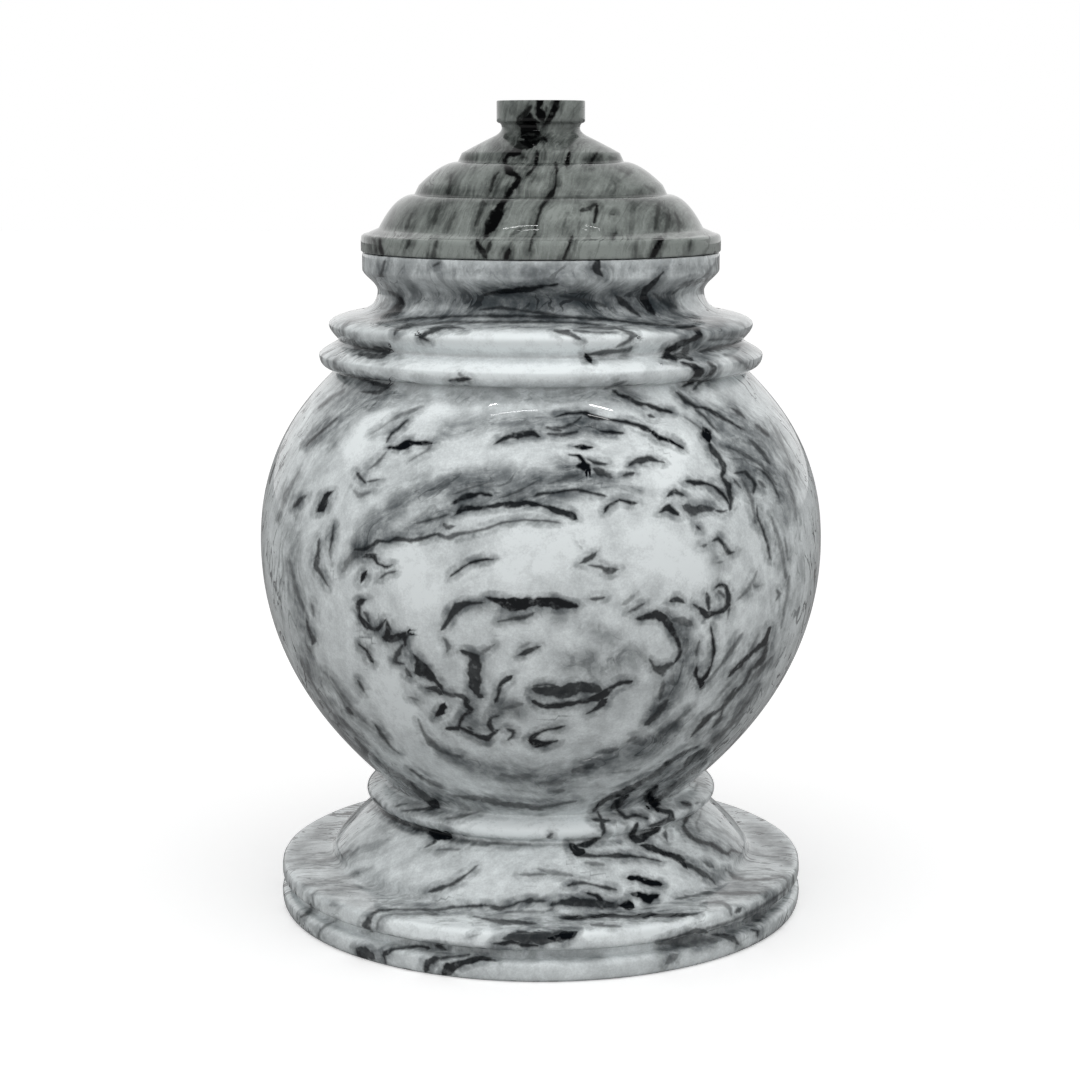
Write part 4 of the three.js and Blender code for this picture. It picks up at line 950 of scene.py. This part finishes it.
def photo_pixels(points):
    """Where points in millimetres fall in the photograph."""
    pitch = math.radians(CAMERA_PITCH)
    ahead = np.array([0.0, math.cos(pitch), -math.sin(pitch)])
    up = np.array([0.0, math.sin(pitch), math.cos(pitch)])
    seen = points - np.array(CAMERA_PLACE)
    depth = seen @ ahead
    half = PHOTO_SIZE / 2.0
    return np.stack([half + CAMERA_FOCUS * seen[:, 0] / depth, half - CAMERA_FOCUS * (seen @ up) / depth], axis=1)


def facing_camera(points, normals):
    """How squarely each point faces the photograph's camera, from 1 to 0 and below."""
    towards = np.array(CAMERA_PLACE) - points
    return (towards * normals).sum(axis=1) / np.linalg.norm(towards, axis=1)


def nearest_on_line(pixels, line):
    """For each pixel: distance to a drawn line, signed distance, half width there, overrun of its ends."""
    line = np.array(line, float)
    best = np.full(len(pixels), np.inf)
    signed, half, overrun = (np.zeros(len(pixels)) for _ in range(3))
    for i in range(len(line) - 1):
        start, end = line[i, :2], line[i + 1, :2]
        length = np.hypot(*(end - start))
        along = (end - start) / length
        offset = pixels - start
        run = offset @ along
        side = offset[:, 0] * along[1] - offset[:, 1] * along[0]
        share = np.clip(run / length, 0.0, 1.0)
        beyond = np.abs(run - share * length)
        distance = np.hypot(side, beyond)
        nearer = distance < best
        best[nearer] = distance[nearer]
        open_end = ((run < 0.0) & (i == 0)) | ((run > length) & (i == len(line) - 2))
        joint = np.where(side < 0.0, -distance, distance)
        signed[nearer] = np.where(open_end, side, joint)[nearer]
        half[nearer] = (line[i, 2] + share * (line[i + 1, 2] - line[i, 2]))[nearer]
        overrun[nearer] = np.where(open_end, beyond, 0.0)[nearer]
    return best, signed, half, overrun


def dense(line):
    """The line's points with more between them, for distances from line to line."""
    line = np.array(line, float)
    rows = [line[:1]]
    for start, end in zip(line, line[1:]):
        count = math.ceil(np.hypot(*(end - start)[:2]) / 3.0)
        rows.append(start + np.linspace(0.0, 1.0, count + 1)[1:, None] * (end - start))
    return np.concatenate(rows)


def share_channels(veins):
    """Sorts the veins into channels, so that two in one channel are well apart."""
    channels = []
    for darkness, line in sorted(veins, key=lambda vein: -max(point[2] for point in vein[1])):
        points = dense(line)
        for channel in channels:
            for other in channel:
                gap = np.hypot(*(points[:, None, :2] - other[1][None, :, :2]).transpose(2, 0, 1))
                gap -= 4.0 / 3.0 * (points[:, None, 2] + other[1][None, :, 2])
                if gap.min() < VEIN_SPACING:
                    break
            else:
                channel.append((darkness, points, line))
                break
        else:
            channels.append([(darkness, points, line)])
    return [[(darkness, line) for darkness, points, line in channel] for channel in channels]


def draw_on_front(piece, veins, clouds):
    """Stores the drawn veins and clouds at the points of the piece's front; the clouds hold painted shade and painted
    light as well as the stone's grey.
    """
    mesh = piece.data
    count = len(mesh.vertices)
    places, normals = np.empty(3 * count), np.empty(3 * count)
    mesh.vertices.foreach_get("co", places)
    mesh.vertex_normals.foreach_get("vector", normals)
    places, normals = places.reshape(-1, 3) / MM, normals.reshape(-1, 3)
    pixels = photo_pixels(places)
    radius = np.hypot(places[:, 0], places[:, 1])
    facing = facing_camera(places, normals)
    near = np.clip((0.40 - places[:, 1] / np.maximum(radius, 1.0)) / 0.15, 0.0, 1.0)
    front, square = (near * np.clip((facing - low) / (high - low), 0.0, 1.0) for low, high in (FRONT_FADE, OWN_FADE))
    mesh.attributes.new("front", "FLOAT", "POINT").data.foreach_set("value", square)

    names = []
    for channel in share_channels(veins):
        stored = np.tile([VEIN_FAR, -VEIN_FAR, 0.0], (count, 1))
        nearest = np.full(count, np.inf)
        for darkness, line in channel:
            xs, ys = [point[0] for point in line], [point[1] for point in line]
            close = (front > 0.0) & (np.abs(pixels[:, 0] - np.mean([min(xs), max(xs)])) < np.ptp(xs) / 2.0 + 40.0)
            close &= np.abs(pixels[:, 1] - np.mean([min(ys), max(ys)])) < np.ptp(ys) / 2.0 + 40.0
            rows = np.flatnonzero(close)
            if not len(rows):
                continue
            distance, signed, half, overrun = nearest_on_line(pixels[rows], line)
            gap = distance - half
            width = half - overrun - 3.0 * np.maximum(0.0, gap - VEIN_MARGIN)
            better = gap < nearest[rows]
            rows, signed, width = rows[better], signed[better], width[better]
            nearest[rows] = gap[better]
            stored[rows, 0] = np.clip(signed, -VEIN_FAR, VEIN_FAR)
            stored[rows, 1] = np.clip(width, -VEIN_FAR, VEIN_FAR)
            stored[rows, 2] = darkness * front[rows]
        names.append(f"veins_{len(names)}")
        mesh.attributes.new(names[-1], "FLOAT_VECTOR", "POINT").data.foreach_set("vector", stored.ravel())

    # The clouds, painted shade and painted light among them, summed into one value at each point.
    cloud_and_painted_light = np.zeros(count)
    for amount, line in clouds:
        distance, _, half, _ = nearest_on_line(pixels, line)
        cloud_and_painted_light += amount * np.exp(-(distance / half) ** 2)
    mesh.attributes.new("cloud_and_painted_light", "FLOAT", "POINT").data.foreach_set("value", cloud_and_painted_light * front)
    return names


class Nodes:
    """Builds a node tree from sums. A value is a number, a vector or a socket."""

    def __init__(self, tree):
        self.tree = tree

    def add(self, kind, inputs=(), **settings):
        node = self.tree.nodes.new(kind)
        for name, value in settings.items():
            setattr(node, name, value)
        for key, value in dict(inputs).items():
            if isinstance(value, bpy.types.NodeSocket):
                self.tree.links.new(value, node.inputs[key])
            else:
                node.inputs[key].default_value = value
        return node

    def math(self, operation, *values, clamp=False):
        node = self.add("ShaderNodeMath", enumerate(values), operation=operation, use_clamp=clamp)
        return node.outputs[0]

    def sum(self, *values):
        total = values[0]
        for value in values[1:]:
            total = self.math("ADD", total, value)
        return total

    def times(self, *values):
        product = values[0]
        for value in values[1:]:
            product = self.math("MULTIPLY", product, value)
        return product

    def most(self, values):
        largest = values[0]
        for value in values[1:]:
            largest = self.math("MAXIMUM", largest, value)
        return largest

    def ramp(self, value, low, high, out_low=0.0, out_high=1.0):
        """Rises smoothly from out_low to out_high as the value goes from low to high."""
        inputs = {"Value": value, "From Min": low, "From Max": high, "To Min": out_low, "To Max": out_high}
        return self.add("ShaderNodeMapRange", inputs, interpolation_type="SMOOTHSTEP").outputs["Result"]

    def vector(self, operation, *values):
        node = self.add("ShaderNodeVectorMath", enumerate(values), operation=operation)
        return node.outputs["Value" if operation == "DOT_PRODUCT" else 0]

    def scaled(self, vector, factor):
        return self.vector("MULTIPLY", vector, (factor, factor, factor))

    def noise(self, vector, size, detail=2.0, roughness=0.5, at=(0.0, 0.0, 0.0)):
        """Soft noise from 0 to 1, in grains of the given size, and its colour as a vector."""
        place = self.vector("ADD", self.scaled(vector, 1.0 / size), at)
        inputs = {"Vector": place, "Scale": 1.0, "Detail": detail, "Roughness": roughness}
        node = self.add("ShaderNodeTexNoise", inputs)
        return node.outputs[0], node.outputs[1]

    def warped(self, vector, size, reach, at=(0.0, 0.0, 0.0)):
        shift = self.vector("SUBTRACT", self.noise(vector, size, at=at)[1], (0.5, 0.5, 0.5))
        return self.vector("ADD", vector, self.scaled(shift, 2.0 * reach))

    def mix(self, share, first, second):
        node = self.add("ShaderNodeMix", {0: share, 6: first, 7: second}, data_type="RGBA")
        return node.outputs[2]


def layered(nodes, place, normal, along, bed):
    """Coordinates that stretch along the stone's layers and close up across them."""
    across = Vector(normal).normalized()
    first = across.orthogonal().normalized()
    second = across.cross(first)
    parts = [nodes.vector("DOT_PRODUCT", nodes.scaled(place, 1.0 / size), tuple(axis))
             for axis, size in ((first, along), (second, along), (across, bed))]
    return nodes.add("ShaderNodeCombineXYZ", enumerate(parts)).outputs[0]


def drawn_veins(nodes, place, channels):
    """The drawn veins, ragged and uneven, and the grey that spreads round them."""
    wave = nodes.math("SUBTRACT", nodes.noise(place, VEIN_WAVE, 2.0, at=(3.1, 7.7, 1.9))[0], 0.5)
    swell = nodes.math("SUBTRACT", nodes.noise(place, VEIN_SWELL, 1.0, at=(5.2, 0.7, 4.4))[0], 0.5)
    fine = nodes.math("SUBTRACT", nodes.noise(place, VEIN_GRAIN, 1.0, 0.5, at=(8.3, 2.4, 5.6))[0], 0.5)
    blot = nodes.math("SUBTRACT", nodes.noise(place, VEIN_BLOT, 1.0, 0.5, at=(1.3, 6.4, 2.6))[0], 0.5)
    sway = nodes.times(wave, VEIN_SWAY)
    ragged = nodes.sum(nodes.times(fine, VEIN_FINE), nodes.times(blot, VEIN_RAGGED))
    uneven = nodes.math("MAXIMUM", nodes.times(nodes.sum(swell, nodes.times(blot, 0.4)), VEIN_UNEVEN), VEIN_THINNEST)
    mottled = nodes.ramp(nodes.noise(place, 3.4, 2.0, 0.6, at=(2.9, 5.1, 7.3))[0], *VEIN_INK)
    smoke = nodes.ramp(nodes.noise(place, 6.0, 3.0, 0.6, at=(9.1, 3.3, 0.8))[0], *VEIN_SMOKE)
    inks, halos = [], []
    for name in channels:
        stored = nodes.add("ShaderNodeAttribute", attribute_name=name).outputs["Vector"]
        parts = nodes.add("ShaderNodeSeparateXYZ", {0: stored}).outputs
        off = nodes.math("ABSOLUTE", nodes.sum(parts[0], sway))
        off_grey = nodes.math("ABSOLUTE", nodes.sum(parts[0], nodes.times(swell, 9.0)))
        wide = nodes.math("MAXIMUM", parts[1], 0.0)
        worn = nodes.sum(parts[1], nodes.times(ragged, nodes.ramp(wide, *VEIN_STEADY)), nodes.times(uneven, wide))
        width = nodes.math("MAXIMUM", worn, nodes.times(parts[1], VEIN_NARROWEST))
        inks.append(nodes.times(nodes.ramp(nodes.math("SUBTRACT", width, off), *VEIN_EDGE), parts[2]))
        halos.append(nodes.times(nodes.ramp(nodes.math("SUBTRACT", width, off_grey), *VEIN_HALO), parts[2]))
    return nodes.times(nodes.most(inks), mottled), nodes.times(nodes.most(halos), smoke)


def stone_veins(nodes, layers, place, seed):
    """The stone's own veins: thin dark sheets between its layers, in patches."""
    rough = nodes.math("SUBTRACT", nodes.noise(place, 2.6, 3.0, 0.65, at=(seed, 4.0, 2.0))[0], 0.5)
    veins = []
    for size, width, patch, at in ((1.0, 0.020, 0.51, 11.0), (0.55, 0.026, 0.54, 23.0), (0.3, 0.03, 0.58, 37.0)):
        sheet = nodes.noise(layers, size, 2.0, 0.45, at=(seed, at, 1.7))[0]
        off = nodes.math("ABSOLUTE", nodes.sum(sheet, nodes.times(rough, 0.05), -0.5))
        where = nodes.noise(place, 20.0 * size + 8.0, 2.0, 0.6, at=(at, seed, 9.2))[0]
        thick = nodes.times(nodes.ramp(where, patch - 0.07, patch + 0.10), width)
        veins.append(nodes.ramp(nodes.sum(thick, nodes.times(off, -1.0)), -0.006, 0.008))
    return nodes.most(veins)


def marble(name, stone, channels):
    """Polished marble: a solid texture in the stone's own layers, under the drawn veins."""
    material = bpy.data.materials.new(name)
    material.use_nodes = True
    nodes = Nodes(material.node_tree)
    seed = stone["seed"]
    place = nodes.scaled(nodes.add("ShaderNodeTexCoord").outputs["Object"], 1.0 / MM)
    bent = nodes.warped(nodes.warped(place, 62.0, stone["fold"], at=(seed, 0.0, 0.0)), 19.0, 4.0, at=(0.0, seed, 0.0))
    layers = layered(nodes, bent, stone["normal"], stone["along"], stone["bed"])

    broad = nodes.noise(layers, 1.0, 4.0, 0.55, at=(seed, 0.4, 0.9))[0]
    streak = nodes.noise(layers, 0.28, 3.0, 0.6, at=(0.7, seed, 0.2))[0]
    mottle = nodes.noise(place, 6.0, 5.0, 0.65, at=(0.1, 0.5, seed))[0]
    grain = nodes.noise(place, 0.8, 2.0, 0.7, at=(0.6, seed, 0.8))[0]

    front = nodes.add("ShaderNodeAttribute", attribute_name="front").outputs["Fac"]
    painted = nodes.add("ShaderNodeAttribute", attribute_name="cloud_and_painted_light").outputs["Fac"]
    away = nodes.math("SUBTRACT", 1.0, front)
    ink, halo = drawn_veins(nodes, place, channels)
    bare = nodes.math("MAXIMUM", nodes.ramp(away, 0.0, 1.0, stone["front_veins"], 1.0), nodes.times(painted, CLOUD_VEINS))
    own = nodes.times(stone_veins(nodes, layers, place, seed), bare)

    texture = nodes.sum(nodes.times(streak, 0.9), nodes.times(mottle, 0.9), -0.4)
    smoke = nodes.ramp(texture, 0.20, 0.80, 0.50, 1.50)
    natural = nodes.times(nodes.ramp(broad, *stone["clouds"]), nodes.ramp(front, 0.0, 1.0, 1.0, stone["front_clouds"]))
    # The drawn clouds darken the stone, and below nothing pale it; among them are painted shade and painted light.
    soft = nodes.times(nodes.sum(nodes.times(natural, 0.6), nodes.times(painted, CLOUD_DEPTH)), smoke)
    speckle = nodes.sum(nodes.times(nodes.math("SUBTRACT", mottle, 0.5), stone["mottle"]),
                        nodes.times(nodes.math("SUBTRACT", grain, 0.5), stone["grain"]),
                        nodes.times(nodes.math("SUBTRACT", streak, 0.5), stone["streaks"]))
    spread = nodes.times(nodes.most([halo, nodes.times(own, 0.6)]), smoke, HALO_DEPTH)
    depth = nodes.sum(nodes.math("MAXIMUM", nodes.sum(soft, BASE_GREY), 0.0), speckle, spread)
    grey = nodes.math("SUBTRACT", 1.0, nodes.math("EXPONENT", nodes.times(nodes.math("MAXIMUM", depth, 0.0), -1.0)))
    dark = nodes.math("MULTIPLY", nodes.most([ink, nodes.times(own, stone["own_dark"])]), INK_DEPTH, clamp=True)
    colour = nodes.mix(dark, nodes.mix(grey, stone["pale"], stone["grey"]), stone["dark"])

    shader = material.node_tree.nodes["Principled BSDF"]
    material.node_tree.links.new(colour, shader.inputs["Base Color"])
    shader.inputs["IOR"].default_value = 1.5
    roughness = nodes.ramp(mottle, 0.3, 0.7, *stone["polish"])
    material.node_tree.links.new(roughness, shader.inputs["Roughness"])
    return material


def white_room():
    """A white studio: white to the camera, bright in reflections from behind the urn, softer light from all round and
    stronger from in front.
    """
    world = bpy.data.worlds.new("room")
    world.use_nodes = True
    bpy.context.scene.world = world
    nodes = Nodes(world.node_tree)
    path = nodes.add("ShaderNodeLightPath").outputs
    ahead = nodes.add("ShaderNodeSeparateXYZ", {0: nodes.add("ShaderNodeTexCoord").outputs["Generated"]}).outputs["Y"]
    mirrored = nodes.ramp(ahead, 0.3, 0.95, *ROOM_GLOSS)
    diffuse = nodes.ramp(ahead, -0.9, 0.6, *ROOM_LIGHT)
    soft = nodes.math("MULTIPLY_ADD", path["Is Glossy Ray"], nodes.math("SUBTRACT", mirrored, diffuse), diffuse)
    strength = nodes.math("MAXIMUM", soft, path["Is Camera Ray"])
    background = world.node_tree.nodes["Background"]
    background.inputs["Color"].default_value = (1.0, 1.0, 1.0, 1.0)
    world.node_tree.links.new(strength, background.inputs["Strength"])


def white_floor():
    mesh = bpy.data.meshes.new("floor")
    corners = [(x * FLOOR_HALF, y * FLOOR_HALF, 0.0) for x, y in ((-1, -1), (1, -1), (1, 1), (-1, 1))]
    mesh.from_pydata(corners, [], [(0, 1, 2, 3)])
    floor = bpy.data.objects.new("floor", mesh)
    bpy.context.scene.collection.objects.link(floor)
    material = bpy.data.materials.new("floor_white")
    material.use_nodes = True
    nodes = Nodes(material.node_tree)
    seen = nodes.add("ShaderNodeLightPath").outputs["Is Camera Ray"]
    shader = material.node_tree.nodes["Principled BSDF"]
    colour = nodes.mix(seen, (FLOOR_BOUNCE, FLOOR_BOUNCE, FLOOR_BOUNCE, 1.0), (0.95, 0.95, 0.95, 1.0))
    material.node_tree.links.new(colour, shader.inputs["Base Color"])
    shader.inputs["Roughness"].default_value = 0.9
    shader.inputs["Specular IOR Level"].default_value = 0.0
    shader.inputs["Emission Color"].default_value = (1.0, 1.0, 1.0, 1.0)
    glow = nodes.times(seen, FLOOR_GLOW)
    material.node_tree.links.new(glow, shader.inputs["Emission Strength"])
    mesh.materials.append(material)
    return floor


def overhead_light(name, left, right, front, back, height, radiance):
    """A level rectangle of light above the urn, given in millimetres."""
    light = bpy.data.lights.new(name, "AREA")
    light.shape = "RECTANGLE"
    light.size = (right - left) * MM
    light.size_y = (back - front) * MM
    light.energy = radiance * math.pi * light.size * light.size_y
    lamp = bpy.data.objects.new(name, light)
    lamp.location = Vector(((left + right) / 2.0, (front + back) / 2.0, height)) * MM
    bpy.context.scene.collection.objects.link(lamp)
    return lamp


camera = set_up_camera()
white_room()
white_floor()
soft_box = overhead_light("soft_box", -1200.0, 1200.0, -1600.0, 800.0, SOFT_BOX_HEIGHT, SOFT_BOX_LIGHT)
soft_box.visible_glossy = False
body_points, seat = body_outline()
body = turned_mesh("urn_body_marble", body_points)
lid = turned_mesh("lid_marble", lid_outline(seat))
for piece, tubes in ((body, TUBES), (lid, LID_TUBES)):
    lit = bpy.data.collections.new(f"lit_with_{piece.name}")
    lit.objects.link(piece)
    for name, left, right, front, depth, radiance in tubes:
        tube = overhead_light(name, left, right, front, front + depth, TUBE_HEIGHT, radiance)
        tube.light_linking.receiver_collection = lit
body_veins = [*NECK_VEINS.values(), *BELLY_TOP_VEINS.values(), *BELLY_MIDDLE_VEINS.values(),
              *BELLY_LOW_VEINS.values(), *STEM_VEINS.values(), *FOOT_VEINS.values()]
body_channels = draw_on_front(body, body_veins, CLOUDS_AND_PAINTED_LIGHT.values())
lid_channels = draw_on_front(lid, LID_VEINS.values(), LID_CLOUDS.values())
body.data.materials.append(marble("body_marble_polished", BODY_STONE, body_channels))
lid.data.materials.append(marble("lid_marble_polished", LID_STONE, lid_channels))

for piece, node in ((body, "urn_body"), (lid, "lid")):
    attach(piece, "root")
    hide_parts(node)
bpy.context.scene.view_settings.view_transform = "Standard"
